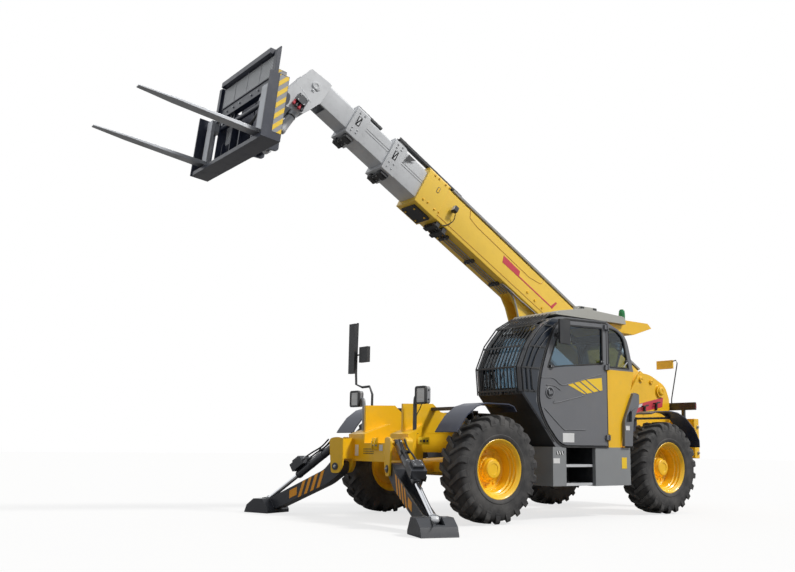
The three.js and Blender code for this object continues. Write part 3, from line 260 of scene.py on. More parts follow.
@dataclass
class Shape:
    """The vertices and faces of one piece while it is made, each face with its finish's number."""

    verts: list[Point] = field(default_factory=list)
    faces: list[tuple[int, ...]] = field(default_factory=list)
    finishes: list[int] = field(default_factory=list)

    def add(
        self, verts: Iterable[Point], faces: Iterable[Sequence[int]], finish: int = 0,
        at: Matrix | None = None
    ) -> None:
        """Adds a body.

        Args:
            verts: Its vertices.
            faces: Its faces, as numbers of those vertices.
            finish: Which of the piece's finishes it takes.
            at: Where it goes in the piece, if it isn't made in place.
        """
        start = len(self.verts)
        for v in verts:
            self.verts.append(tuple(at @ Vector(v)) if at else tuple(v))
        for f in faces:
            self.faces.append(tuple(start + i for i in f))
            self.finishes.append(finish)

    def plate(
        self, outline: Sequence[tuple[float, float]], axis: Axis, low: float, high: float, finish: int = 0,
        holes: Sequence[Sequence[tuple[float, float]]] = (), at: Matrix | None = None
    ) -> None:
        """Sweeps an outline, with its holes, along an axis.

        Args:
            outline: Points in the plane across the axis.
            axis: The direction of the sweep.
            low: Where the sweep starts.
            high: Where it ends.
            finish: Which of the piece's finishes it takes.
            holes: Outlines cut right through.
            at: Where it goes in the piece.
        """
        loops = [list(outline), *[list(h) for h in holes]]
        flat = [p for loop in loops for p in loop]
        count = len(flat)
        verts = [_place(axis, a, b, low) for a, b in flat] + [_place(axis, a, b, high) for a, b in flat]
        if holes:
            tiles = tessellate_polygon([[Vector((a, b, 0)) for a, b in loop] for loop in loops])
        else:
            tiles = [tuple(range(count))]
        faces = [tuple(t) for t in tiles] + [tuple(count + i for i in reversed(t)) for t in tiles]
        start = 0
        for loop in loops:
            size = len(loop)
            for i in range(size):
                j = start + (i + 1) % size
                faces.append((start + i, j, count + j, count + start + i))
            start += size
        self.add(verts, faces, finish, at)

    def block(
        self, x: tuple[float, float], y: tuple[float, float], z: tuple[float, float], finish: int = 0,
        at: Matrix | None = None
    ) -> None:
        """A box from its ranges along X, Y and Z.

        Args:
            x: Its range along X.
            y: Its range along Y.
            z: Its range along Z.
            finish: Its finish's number.
            at: A frame that it is put in.
        """
        self.plate(
            [(x[0], y[0]), (x[1], y[0]), (x[1], y[1]), (x[0], y[1])], Axis.Z, z[0], z[1], finish, at=at
        )

    def turned(
        self, profile: Sequence[tuple[float, float]], count: int, finish: int = 0, at: Matrix | None = None,
        closed: bool = False
    ) -> None:
        """Turns a profile of (radius, height) about Z.

        Args:
            profile: The points turned.
            count: Divisions round.
            finish: Which of the piece's finishes it takes.
            at: Where it goes in the piece.
            closed: True where the profile closes on itself, as a ring's does.
        """
        turn = 2 * math.pi / count
        rows: list[list[int]] = []
        verts: list[Point] = []
        for radius, height in profile:
            if radius < 1e-6:
                rows.append([len(verts)] * count)
                verts.append((0.0, 0.0, height))
                continue
            rows.append(list(range(len(verts), len(verts) + count)))
            verts.extend(
                (radius * math.cos(i * turn), radius * math.sin(i * turn), height) for i in range(count)
            )
        faces: list[tuple[int, ...]] = []
        pairs = list(zip(rows, rows[1:])) + ([(rows[-1], rows[0])] if closed else [])
        for one, two in pairs:
            for i in range(count):
                j = (i + 1) % count
                ring = [one[i], one[j], two[j], two[i]]
                face = tuple(v for k, v in enumerate(ring) if v != ring[k - 1])
                if len(face) > 2:
                    faces.append(face)
        if not closed:
            for row in (rows[0], rows[-1]):
                if row[0] != row[1]:
                    faces.append(tuple(row))
        self.add(verts, faces, finish, at)

    def tube(
        self, points: Sequence[Point], radius: float, sides: int = 10, finish: int = 0,
        at: Matrix | None = None, smooth: int = 0, closed: bool = False
    ) -> None:
        """Sweeps a round section along a path.

        Args:
            points: The path.
            radius: The section's radius.
            sides: Divisions round the section.
            finish: Which of the piece's finishes it takes.
            at: Where it goes in the piece.
            smooth: Extra points that round the path between each pair.
            closed: True where the path is a loop.
        """
        path = [Vector(p) for p in points]
        if smooth:
            path = _flowing(path, smooth, closed)
        count = len(path)
        verts: list[Point] = []
        normal: Vector | None = None
        for i, here in enumerate(path):
            before = path[i - 1] if i or closed else here
            after = path[(i + 1) % count] if i < count - 1 or closed else here
            along = (after - before).normalized()
            if normal is None:
                helper = Vector((0, 0, 1)) if abs(along.z) < 0.9 else Vector((1, 0, 0))
                normal = along.cross(helper).normalized()
            normal = (normal - along * normal.dot(along)).normalized()
            side = along.cross(normal)
            for k in range(sides):
                angle = 2 * math.pi * k / sides
                verts.append(tuple(here + (normal * math.cos(angle) + side * math.sin(angle)) * radius))
        faces: list[tuple[int, ...]] = []
        for i in range(count if closed else count - 1):
            j = (i + 1) % count
            for k in range(sides):
                m = (k + 1) % sides
                faces.append((i * sides + k, i * sides + m, j * sides + m, j * sides + k))
        if not closed:
            faces.append(tuple(range(sides)))
            faces.append(tuple((count - 1) * sides + k for k in range(sides)))
        self.add(verts, faces, finish, at)

    def rod(self, start: Point, end: Point, radius: float, sides: int = 24, finish: int = 0) -> None:
        """A straight round bar between two points."""
        self.tube([start, end], radius, sides, finish)

    def bolt(self, at: Point, facing: Point, size: float = 0.018, finish: int = 0) -> None:
        """A hexagon head on its washer.

        Args:
            at: The middle of the washer's face on the wall.
            facing: The direction the head points.
            size: Across the washer's radius.
            finish: Which of the piece's finishes it takes.
        """
        turn = Vector(facing).to_track_quat("Z", "Y").to_matrix().to_4x4()
        here = Matrix.Translation(at) @ turn
        self.turned(span_oblong((0, size), (0, size * 0.16)), 16, finish, here)
        head = size * 0.8
        top = size * 0.85
        self.turned(
            [(0, size * 0.1), (head, size * 0.1), (head, top * 0.85), (head * 0.86, top), (0, top)], 6,
            finish, here
        )

    def bolts(self, places: Iterable[Point], facing: Point, size: float = 0.018, finish: int = 0) -> None:
        """A bolt at each place, all facing one way."""
        for place in places:
            self.bolt(place, facing, size, finish)


def _flowing(path: Sequence[Vector], extra: int, closed: bool) -> list[Vector]:
    """A smooth run through the points of a path, with extra points between each pair.

    Args:
        path: The points that it goes through.
        extra: Points added between each pair.
        closed: True where the path is a loop.

    Returns:
        The points of the run.
    """
    count = len(path)
    spans = count if closed else count - 1
    run: list[Vector] = []
    for i in range(spans):
        p1, p2 = path[i], path[(i + 1) % count]
        p0 = path[i - 1] if i or closed else p1 * 2 - p2
        p3 = path[(i + 2) % count] if i + 2 < count or closed else p2 * 2 - p1
        for k in range(extra + 1):
            t = k / (extra + 1)
            blend = p1 * 2 + (p2 - p0) * t + (p0 * 2 - p1 * 5 + p2 * 4 - p3) * t * t
            blend += (p1 * 3 - p0 - p2 * 3 + p3) * t * t * t
            run.append(blend * 0.5)
    if not closed:
        run.append(path[-1].copy())
    return run


# ---------------------------------------------------------------- node sheets


def linear(red: int, green: int, blue: int) -> Colour:
    """A colour written as on a screen, in the light values that a shader takes.

    Args:
        red: Red, from 0 to 255.
        green: Green.
        blue: Blue.

    Returns:
        The colour.
    """

    def channel(value: int) -> float:
        """One channel's light value."""
        share = value / 255
        return share / 12.92 if share <= 0.04045 else ((share + 0.055) / 1.055) ** 2.4

    return (channel(red), channel(green), channel(blue))


@dataclass
class Sheet:
    """A material's nodes, with short ways to add them."""

    tree: bpy.types.NodeTree

    def node(self, kind: str, **settings: object) -> bpy.types.Node:
        """Adds a node and sets its properties.

        Args:
            kind: The node's type.
            **settings: Its properties.

        Returns:
            The node.
        """
        made = self.tree.nodes.new(kind)
        for key, value in settings.items():
            setattr(made, key, value)
        return made

    def wire(self, source: bpy.types.NodeSocket, target: bpy.types.NodeSocket) -> None:
        """Links an output to an input."""
        self.tree.links.new(source, target)

    def feed(self, target: bpy.types.NodeSocket, value: object) -> None:
        """Sets an input to a number or links it to an output.

        Args:
            target: The input.
            value: A number, a colour or an output.
        """
        if isinstance(value, bpy.types.NodeSocket):
            self.wire(value, target)
        else:
            target.default_value = value

    def place(self, kind: str = "Object") -> bpy.types.NodeSocket:
        """The coordinate of the shaded point in its own piece."""
        return self.node("ShaderNodeTexCoord").outputs[kind]

    def noise(
        self, scale: float, detail: float = 4, rough: float = 0.55, stretch: Point = (1, 1, 1),
        seed: float = 0.0
    ) -> bpy.types.NodeSocket:
        """Soft noise over the piece, from 0 to 1.

        Args:
            scale: Its frequency.
            detail: Its octaves.
            rough: How strong the fine octaves are.
            stretch: Its scale along each axis.
            seed: Its offset, which sets it apart from others.

        Returns:
            The noise.
        """
        mapping = self.node("ShaderNodeMapping")
        mapping.inputs["Scale"].default_value = stretch
        mapping.inputs["Location"].default_value = (seed, seed * 0.7, seed * 1.3)
        self.wire(self.place(), mapping.inputs["Vector"])
        made = self.node("ShaderNodeTexNoise")
        self.wire(mapping.outputs["Vector"], made.inputs["Vector"])
        made.inputs["Scale"].default_value = scale
        made.inputs["Detail"].default_value = detail
        made.inputs["Roughness"].default_value = rough
        return made.outputs["Fac"]

    def span(
        self, value: bpy.types.NodeSocket, low: float, high: float, to_low: float = 0.0,
        to_high: float = 1.0
    ) -> bpy.types.NodeSocket:
        """Maps a range of a value to another, held at its ends.

        Args:
            value: The value mapped.
            low: The start of its range.
            high: The end of its range.
            to_low: What the start becomes.
            to_high: What the end becomes.

        Returns:
            The mapped value.
        """
        made = self.node("ShaderNodeMapRange", clamp=True)
        self.wire(value, made.inputs["Value"])
        for key, number in (("From Min", low), ("From Max", high), ("To Min", to_low), ("To Max", to_high)):
            made.inputs[key].default_value = number
        return made.outputs["Result"]

    def math(self, operation: str, one: object, two: object = 0.0) -> bpy.types.NodeSocket:
        """A sum on one or two values.

        Args:
            operation: The sum.
            one: The first value.
            two: The second, where the sum takes one.

        Returns:
            The result.
        """
        made = self.node("ShaderNodeMath", operation=operation)
        self.feed(made.inputs[0], one)
        self.feed(made.inputs[1], two)
        return made.outputs[0]

    def mix(self, share: object, one: object, two: object, blend: str = "MIX") -> bpy.types.NodeSocket:
        """Mixes two colours.

        Args:
            share: How much of the second shows.
            one: The first colour.
            two: The second.
            blend: How they are blended.

        Returns:
            The mixed colour.
        """
        made = self.node("ShaderNodeMix", data_type="RGBA", blend_type=blend)
        self.feed(made.inputs["Factor"], share)
        for socket, value in ((made.inputs[6], one), (made.inputs[7], two)):
            self.feed(socket, (*value, 1.0) if isinstance(value, tuple) else value)
        return made.outputs[2]

    def bump(
        self, height: bpy.types.NodeSocket, strength: float, distance: float,
        under: bpy.types.NodeSocket | None = None
    ) -> bpy.types.NodeSocket:
        """A bumped normal from a height.

        Args:
            height: The height.
            strength: How strongly it shows.
            distance: Its depth in metres.
            under: A normal that it is laid on.

        Returns:
            The normal.
        """
        made = self.node("ShaderNodeBump")
        made.inputs["Strength"].default_value = strength
        made.inputs["Distance"].default_value = distance
        self.wire(height, made.inputs["Height"])
        if under is not None:
            self.wire(under, made.inputs["Normal"])
        return made.outputs["Normal"]


@dataclass(frozen=True)
class Finish:
    """A finish by name; its subclasses build the nodes."""

    name: str

    def dress(self, sheet: Sheet, shader: bpy.types.Node) -> None:
        """Wires the finish into the shader."""
        raise NotImplementedError

    def material(self) -> bpy.types.Material:
        """The finish's material, made once.

        Returns:
            The material.
        """
        label = f"{self.name}_finish"
        found = bpy.data.materials.get(label)
        if found:
            return found
        made = bpy.data.materials.new(label)
        made.use_nodes = True
        sheet = Sheet(made.node_tree)
        self.dress(sheet, made.node_tree.nodes["Principled BSDF"])
        return made


@dataclass(frozen=True)
class Zone:
    """A part of a node, by its box in the machine's coordinates, that has a colour of its own."""

    colour: Colour
    low: Point
    high: Point

    def mask(self, sheet: Sheet) -> bpy.types.NodeSocket:
        """1 inside the box and 0 outside it.

        Args:
            sheet: The material's nodes.

        Returns:
            The mask.
        """
        parts = sheet.node("ShaderNodeSeparateXYZ")
        sheet.wire(sheet.place(), parts.inputs[0])
        inside: object = 1.0
        for i in range(3):
            shift = AXLE_X if i == 0 else 0.0
            inside = sheet.math(
                "MULTIPLY", inside, sheet.math("GREATER_THAN", parts.outputs[i], self.low[i] + shift)
            )
            inside = sheet.math(
                "MULTIPLY", inside, sheet.math("LESS_THAN", parts.outputs[i], self.high[i] + shift)
            )
        return inside


@dataclass(frozen=True)
class Paint(Finish):
    """Sprayed machine paint: soft mottling, fine orange peel, dust, and edges rubbed by use."""

    colour: Colour = (0.5, 0.5, 0.5)
    roughness: float = 0.4
    coat: float = 0.25
    mottle: float = 0.07
    dust: float = 0.16
    dust_colour: Colour = (0.36, 0.32, 0.26)
    wear: float = 0.5
    wear_colour: Colour = (0.16, 0.15, 0.14)
    edge: float = 0.004
    zones: tuple[Zone, ...] = ()

    def dress(self, sheet: Sheet, shader: bpy.types.Node) -> None:
        """Wires the paint.

        Args:
            sheet: The material's nodes.
            shader: Its shader.
        """
        base: object = self.colour
        for zone in self.zones:
            base = sheet.mix(zone.mask(sheet), base, zone.colour)
        cloud = sheet.noise(1.9, 5, 0.6, seed=3.1)
        shade = sheet.span(cloud, 0.3, 0.7, 1 - self.mottle, 1 + self.mottle * 0.4)
        grey = sheet.node("ShaderNodeCombineColor")
        for i in range(3):
            sheet.wire(shade, grey.inputs[i])
        toned = sheet.mix(1.0, base, grey.outputs[0], "MULTIPLY")
        patches = sheet.span(sheet.noise(9, 8, 0.68, seed=8.4), 0.5, 0.78, 0, self.dust)
        dusted = sheet.mix(patches, toned, self.dust_colour)
        soft = sheet.node("ShaderNodeBevel", samples=3)
        soft.inputs["Radius"].default_value = self.edge
        corner = sheet.node("ShaderNodeVectorMath", operation="DOT_PRODUCT")
        sheet.wire(soft.outputs[0], corner.inputs[0])
        sheet.wire(sheet.node("ShaderNodeNewGeometry").outputs["Normal"], corner.inputs[1])
        rubbed = sheet.span(corner.outputs["Value"], 0.97, 0.86)
        scuffs = sheet.span(sheet.noise(38, 6, 0.7, seed=1.7), 0.5, 0.66, 0, self.wear)
        edges = sheet.math("MULTIPLY", rubbed, scuffs)
        sheet.wire(sheet.mix(edges, dusted, self.wear_colour), shader.inputs["Base Color"])
        rough = sheet.span(patches, 0, max(self.dust, 0.01), self.roughness, self.roughness + 0.22)
        sheet.wire(sheet.math("ADD", rough, sheet.math("MULTIPLY", edges, 0.2)), shader.inputs["Roughness"])
        peel = sheet.noise(420, 2, 0.5)
        sheet.wire(sheet.bump(peel, 0.06, 0.0006, soft.outputs[0]), shader.inputs["Normal"])
        shader.inputs["Coat Weight"].default_value = self.coat
        shader.inputs["Coat Roughness"].default_value = 0.12


@dataclass(frozen=True)
class Metal(Finish):
    """Bare metal with a drawn or ground grain."""

    colour: Colour = (0.6, 0.6, 0.6)
    roughness: float = 0.3
    metallic: float = 1.0
    grain: Point = (2, 120, 120)
    scratch: float = 0.2
    stain: Colour = (0.2, 0.18, 0.16)
    stained: float = 0.2

    def dress(self, sheet: Sheet, shader: bpy.types.Node) -> None:
        """Wires the metal.

        Args:
            sheet: The material's nodes.
            shader: Its shader.
        """
        lines = sheet.noise(6, 5, 0.6, stretch=self.grain)
        blotch = sheet.span(sheet.noise(5, 6, 0.65, seed=4.2), 0.48, 0.74, 0, self.stained)
        toned = sheet.mix(
            sheet.span(lines, 0.3, 0.7, 0, self.scratch), self.colour, tuple(c * 0.55 for c in self.colour)
        )
        sheet.wire(sheet.mix(blotch, toned, self.stain), shader.inputs["Base Color"])
        rough = sheet.span(lines, 0.25, 0.75, self.roughness * 0.8, self.roughness * 1.25)
        sheet.wire(sheet.math("ADD", rough, sheet.math("MULTIPLY", blotch, 0.5)), shader.inputs["Roughness"])
        shader.inputs["Metallic"].default_value = self.metallic
        sheet.wire(sheet.bump(lines, 0.08, 0.0005), shader.inputs["Normal"])


@dataclass(frozen=True)
class Moulded(Finish):
    """Moulded plastic or rubber with a fine grain and a little dust."""

    colour: Colour = (0.04, 0.04, 0.045)
    roughness: float = 0.55
    grain: float = 260
    relief: float = 0.12
    dust: float = 0.12
    dust_colour: Colour = (0.3, 0.29, 0.27)

    def dress(self, sheet: Sheet, shader: bpy.types.Node) -> None:
        """Wires the moulding.

        Args:
            sheet: The material's nodes.
            shader: Its shader.
        """
        cloud = sheet.span(sheet.noise(4, 6, 0.62, seed=2.2), 0.42, 0.76, 0, self.dust)
        sheet.wire(sheet.mix(cloud, self.colour, self.dust_colour), shader.inputs["Base Color"])
        sheet.wire(
            sheet.span(cloud, 0, max(self.dust, 0.01), self.roughness, self.roughness + 0.15),
            shader.inputs["Roughness"]
        )
        sheet.wire(sheet.bump(sheet.noise(self.grain, 3, 0.6), self.relief, 0.0012), shader.inputs["Normal"])


@dataclass(frozen=True)
class TreadRubber(Finish):
    """Tyre rubber: black in the grooves, worn grey and dusty on the bars and along the wall."""

    colour: Colour = (0.022, 0.022, 0.024)
    worn: Colour = (0.19, 0.185, 0.18)
    crown: float = 0.585  # radius at which the bars start

    def dress(self, sheet: Sheet, shader: bpy.types.Node) -> None:
        """Wires the rubber.

        Args:
            sheet: The material's nodes.
            shader: Its shader.
        """
        parts = sheet.node("ShaderNodeSeparateXYZ")
        sheet.wire(sheet.place(), parts.inputs[0])
        flat = sheet.math(
            "ADD", sheet.math("MULTIPLY", parts.outputs[0], parts.outputs[0]),
            sheet.math("MULTIPLY", parts.outputs[1], parts.outputs[1])
        )
        radius = sheet.math("SQRT", flat)
        tops = sheet.span(radius, self.crown - 0.006, self.crown + 0.016, 0, 0.75)
        scuff = sheet.span(sheet.noise(7, 7, 0.68), 0.30, 0.64, 0.3, 1.0)
        worn = sheet.math("MULTIPLY", tops, scuff)
        wall = sheet.span(sheet.noise(5, 6, 0.6, seed=5.5), 0.36, 0.74, 0.06, 0.5)
        share = sheet.math("MAXIMUM", worn, wall)
        sheet.wire(sheet.mix(share, self.colour, self.worn), shader.inputs["Base Color"])
        sheet.wire(sheet.span(share, 0, 0.8, 0.62, 0.9), shader.inputs["Roughness"])
        sheet.wire(sheet.bump(sheet.noise(90, 6, 0.65), 0.25, 0.0022), shader.inputs["Normal"])
        shader.inputs["Specular IOR Level"].default_value = 0.35


@dataclass(frozen=True)
class Glazing(Finish):
    """Tinted glass, clear enough to see the cab through, with faint rain marks in its gloss."""

    colour: Colour = (0.5, 0.64, 0.72)
    roughness: float = 0.02

    def dress(self, sheet: Sheet, shader: bpy.types.Node) -> None:
        """Wires the glass.

        Args:
            sheet: The material's nodes.
            shader: Its shader.
        """
        shader.inputs["Base Color"].default_value = (*self.colour, 1)
        shader.inputs["Transmission Weight"].default_value = 1.0
        shader.inputs["IOR"].default_value = 1.45
        marks = sheet.span(
            sheet.noise(14, 6, 0.7, stretch=(1, 1, 0.25)), 0.5, 0.8, self.roughness, self.roughness + 0.05
        )
        sheet.wire(marks, shader.inputs["Roughness"])


@dataclass(frozen=True)
class Grille(Finish):
    """Expanded sheet: a pale skin with rows of slits, which are not cut but painted dark as the shade seen
    through them.
    """

    colour: Colour = (0.62, 0.64, 0.66)
    # colour of the slits: painted shade in the openings
    dark: Colour = (0.2, 0.21, 0.23)
    rows: float = 62

    def dress(self, sheet: Sheet, shader: bpy.types.Node) -> None:
        """Wires the sheet.

        Args:
            sheet: The material's nodes.
            shader: Its shader.
        """
        parts = sheet.node("ShaderNodeSeparateXYZ")
        sheet.wire(sheet.place(), parts.inputs[0])
        tall = sheet.math("MULTIPLY", parts.outputs[2], self.rows)
        step = sheet.math("MULTIPLY", sheet.math("FLOOR", tall), 0.5)
        wide = sheet.math("ADD", sheet.math("MULTIPLY", parts.outputs[1], self.rows * 0.42), step)
        u = sheet.math("ABSOLUTE", sheet.math("SUBTRACT", sheet.math("FRACT", wide), 0.5))
        v = sheet.math("ABSOLUTE", sheet.math("SUBTRACT", sheet.math("FRACT", tall), 0.5))
        diamond = sheet.math("ADD", u, v)
        # where the slits are, which take the painted shade
        hole = sheet.span(diamond, 0.3, 0.38, 0.75, 0.0)
        toned = sheet.mix(
            sheet.span(sheet.noise(6, 5), 0.4, 0.7, 0, 0.2), self.colour,
            tuple(c * 0.7 for c in self.colour)
        )
        sheet.wire(sheet.mix(hole, toned, self.dark), shader.inputs["Base Color"])
        shader.inputs["Roughness"].default_value = 0.5
        sheet.wire(sheet.bump(diamond, 0.5, 0.004), shader.inputs["Normal"])


@dataclass(frozen=True)
class Vinyl(Finish):
    """Seat vinyl with a pebbled grain."""

    colour: Colour = (0.035, 0.035, 0.038)

    def dress(self, sheet: Sheet, shader: bpy.types.Node) -> None:
        """Wires the vinyl.

        Args:
            sheet: The material's nodes.
            shader: Its shader.
        """
        cells = sheet.node("ShaderNodeTexVoronoi")
        sheet.wire(sheet.place(), cells.inputs["Vector"])
        cells.inputs["Scale"].default_value = 380
        fold = sheet.noise(12, 4)
        sheet.wire(
            sheet.mix(
                sheet.span(fold, 0.35, 0.7, 0, 0.5), self.colour, tuple(c * 2.2 for c in self.colour)
            ),
            shader.inputs["Base Color"]
        )
        sheet.wire(sheet.span(fold, 0.3, 0.7, 0.42, 0.62), shader.inputs["Roughness"])
        sheet.wire(sheet.bump(cells.outputs["Distance"], 0.3, 0.0008), shader.inputs["Normal"])
        shader.inputs["Sheen Weight"].default_value = 0.2


@dataclass(frozen=True)
class Glow(Finish):
    """A coloured lens: clear moulded plastic over fine prisms."""

    colour: Colour = (0.9, 0.9, 0.9)
    clear: float = 0.35
    ribs: float = 190

    def dress(self, sheet: Sheet, shader: bpy.types.Node) -> None:
        """Wires the lens.

        Args:
            sheet: The material's nodes.
            shader: Its shader.
        """
        wave = sheet.node("ShaderNodeTexWave", bands_direction="Z")
        sheet.wire(sheet.place(), wave.inputs["Vector"])
        wave.inputs["Scale"].default_value = self.ribs / 6
        tone = sheet.mix(
            sheet.span(wave.outputs["Fac"], 0, 1, 0, 0.35), self.colour, tuple(c * 0.6 for c in self.colour)
        )
        sheet.wire(tone, shader.inputs["Base Color"])
        shader.inputs["Roughness"].default_value = 0.12
        shader.inputs["Transmission Weight"].default_value = self.clear
        sheet.wire(sheet.bump(wave.outputs["Fac"], 0.3, 0.0015), shader.inputs["Normal"])


MACHINE_YELLOW = linear(252, 198, 22)
YELLOW_DUST = linear(176, 134, 62)
YELLOW_WEAR = linear(150, 104, 34)
WHEEL_YELLOW = linear(255, 204, 34)
CAB_GREY = linear(106, 108, 113)
NEAR_BLACK = linear(38, 40, 44)


class Finishes:
    """The finishes of the machine."""

    YELLOW = Paint("machine_yellow_paint", MACHINE_YELLOW, dust_colour=YELLOW_DUST, wear_colour=YELLOW_WEAR)
    WHEEL = Paint(
        "wheel_yellow_paint", WHEEL_YELLOW, roughness=0.36, dust=0.1, dust_colour=linear(196, 150, 60)
    )
    GREY = Paint(
        "cab_grey_paint", CAB_GREY, roughness=0.42, dust=0.1, wear=0.3, wear_colour=linear(70, 72, 76)
    )
    PALE = Paint(
        "boom_pale_paint", linear(206, 209, 213), roughness=0.38, mottle=0.14, dust=0.26,
        dust_colour=linear(118, 120, 124), wear=0.6, wear_colour=linear(96, 98, 102)
    )
    DARK = Paint(
        "charcoal_paint", linear(44, 47, 54), roughness=0.4, dust=0.14, dust_colour=linear(110, 108, 106),
        wear=0.7, wear_colour=linear(140, 142, 146)
    )
    NAVY = Paint(
        "carriage_navy_paint", linear(22, 30, 50), roughness=0.36, dust=0.12,
        dust_colour=linear(110, 114, 124), wear=0.7, wear_colour=linear(150, 154, 160)
    )
    FENDER = Moulded("fender_plastic", linear(34, 42, 66), roughness=0.34, dust=0.16, grain=180, relief=0.06)
    BLACK = Moulded("black_plastic", NEAR_BLACK, roughness=0.5)
    TINT = Moulded("tinted_corner_panel", linear(34, 42, 54), roughness=0.14, relief=0.01, dust=0.05)
    RUBBER = Moulded("black_rubber_seal", linear(26, 27, 30), roughness=0.6, grain=140)
    TREAD = TreadRubber("tyre_tread_rubber")
    CHROME = Metal("ground_chrome", (0.78, 0.79, 0.82), 0.09, grain=(140, 2, 2), scratch=0.06, stained=0.04)
    FORK = Metal(
        "worn_fork_steel", linear(176, 179, 184), 0.38, 0.7, grain=(2, 40, 40), scratch=0.4, stained=0.35
    )
    STEEL = Metal("zinc_steel", linear(170, 172, 176), 0.34, scratch=0.2, stained=0.25)
    IRON = Metal("engine_iron", linear(84, 86, 90), 0.55, 0.5, grain=(20, 20, 20), stained=0.4)
    CAB_GLASS = Glazing("cab_glass", (0.30, 0.39, 0.45))
    SCREEN_GLASS = Glazing("windscreen_glass", (0.20, 0.27, 0.32))
    MIRROR = Metal("mirror_glass", (0.86, 0.88, 0.9), 0.03, grain=(1, 1, 1), scratch=0.02, stained=0.03)
    GRILLE = Grille("carriage_mesh")
    VINYL = Vinyl("seat_vinyl")
    LENS = Glow("headlamp_lens", (0.88, 0.89, 0.89), 0.12)
    RED_LENS = Glow("tail_lamp_lens", linear(120, 12, 12), 0.15, 90)
    GREEN_LENS = Glow("beacon_green_lens", linear(14, 150, 84), 0.3, 60)
    AMBER_LENS = Glow("indicator_lens", linear(236, 120, 10), 0.2, 90)
    STRIPE = Paint("stripe_orange_paint", linear(255, 170, 30), wear=0.15, dust=0.04)
    MARK = Paint("mark_yellow_paint", linear(250, 208, 40), wear=0.1, dust=0.06)
    RED = Paint("stripe_red_paint", linear(206, 52, 70), wear=0.2, dust=0.1)
    WHITE = Paint("plate_white", linear(228, 229, 230), wear=0.1, dust=0.1, roughness=0.5)
    MID_GREY = Paint("mark_grey_paint", linear(150, 152, 156), wear=0.1, dust=0.1)


# ---------------------------------------------------------------- pieces


def smooth_by_angle(mesh: bpy.types.Mesh, degrees: float = 34.0) -> None:
    """Shades a mesh smooth, but sharp across edges steeper than the angle."""
    mesh.polygons.foreach_set("use_smooth", [True] * len(mesh.polygons))
    mesh.set_sharp_from_angle(angle=math.radians(degrees))


def mesh_of(name: str, shape: Shape) -> bpy.types.Mesh:
    """The mesh of a shape, with its faces turned outwards.

    Args:
        name: The mesh's name.
        shape: The shape.

    Returns:
        The mesh, without materials.
    """
    mesh = bpy.data.meshes.new(name)
    mesh.from_pydata(shape.verts, [], shape.faces)
    mesh.polygons.foreach_set("material_index", shape.finishes)
    work = bmesh.new()
    work.from_mesh(mesh)
    bmesh.ops.recalc_face_normals(work, faces=work.faces)
    work.to_mesh(mesh)
    work.free()
    return mesh


def placed(name: str, mesh: bpy.types.Mesh, at: Matrix) -> bpy.types.Object:
    """A new object of the scene, with its frame.

    Args:
        name: The object's name.
        mesh: Its mesh.
        at: Its frame.

    Returns:
        The object.
    """
    made = bpy.data.objects.new(name, mesh)
    bpy.context.scene.collection.objects.link(made)
    made.matrix_world = at
    return made


def fasten(made: bpy.types.Object, body: str, replaces: Sequence[str]) -> None:
    """Rides an object on its body and hides the CAD nodes that it stands for.

    Args:
        made: The object.
        body: The CAD body that it rides on.
        replaces: The CAD nodes that it stands for.
    """
    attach(made, body)
    if replaces:
        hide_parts(*replaces)


def piece(
    name: str, shape: Shape, finishes: Sequence[Finish], body: str, at: Matrix = MACHINE,
    bevel: float = 0.0, replaces: Sequence[str] = (), subdivide: int = 0
) -> bpy.types.Object:
    """Makes a piece of the machine from its shape.

    Args:
        name: The piece's name.
        shape: Its vertices and faces, in its own frame.
        finishes: Its finishes, in the order of the shape's numbers.
        body: The CAD body that it rides on.
        at: Its own frame, in the row frame.
        bevel: Width of its broken edges, or 0 for none.
        replaces: The CAD nodes that it stands for.
        subdivide: Levels of subdivision.

    Returns:
        The new object.
    """
    mesh = mesh_of(name, shape)
    for finish in finishes:
        mesh.materials.append(finish.material())
    smooth_by_angle(mesh)
    made = placed(name, mesh, at)
    if subdivide:
        made.modifiers.new("rounding", "SUBSURF").levels = subdivide
        made.modifiers["rounding"].render_levels = subdivide
    if bevel:
        edge = made.modifiers.new("broken_edges", "BEVEL")
        edge.width = bevel
        edge.segments = 2
        edge.limit_method = "ANGLE"
        edge.angle_limit = math.radians(40)
        edge.use_clamp_overlap = False
        edge.harden_normals = True
    fasten(made, body, replaces)
    LOG.info("%s: %d faces on %s", name, len(mesh.polygons), body)
    return made


def twin(
    source: bpy.types.Object, name: str, body: str, at: Matrix, replaces: Sequence[str] = (),
) -> bpy.types.Object:
    """Another piece from the same mesh, at its own place.

    Args:
        source: The piece whose mesh is shared.
        name: The new piece's name.
        body: The CAD body that it rides on.
        at: Its frame.
        replaces: The CAD nodes that it stands for.

    Returns:
        The new object.
    """
    made = placed(name, source.data, at)
    for old in source.modifiers:
        new = made.modifiers.new(old.name, old.type)
        for key in (
            "width", "segments", "limit_method", "angle_limit", "use_clamp_overlap", "harden_normals",
            "levels", "render_levels"
        ):
            if hasattr(old, key):
                setattr(new, key, getattr(old, key))
    fasten(made, body, replaces)
    LOG.info("%s: as %s, on %s", name, source.name, body)
    return made


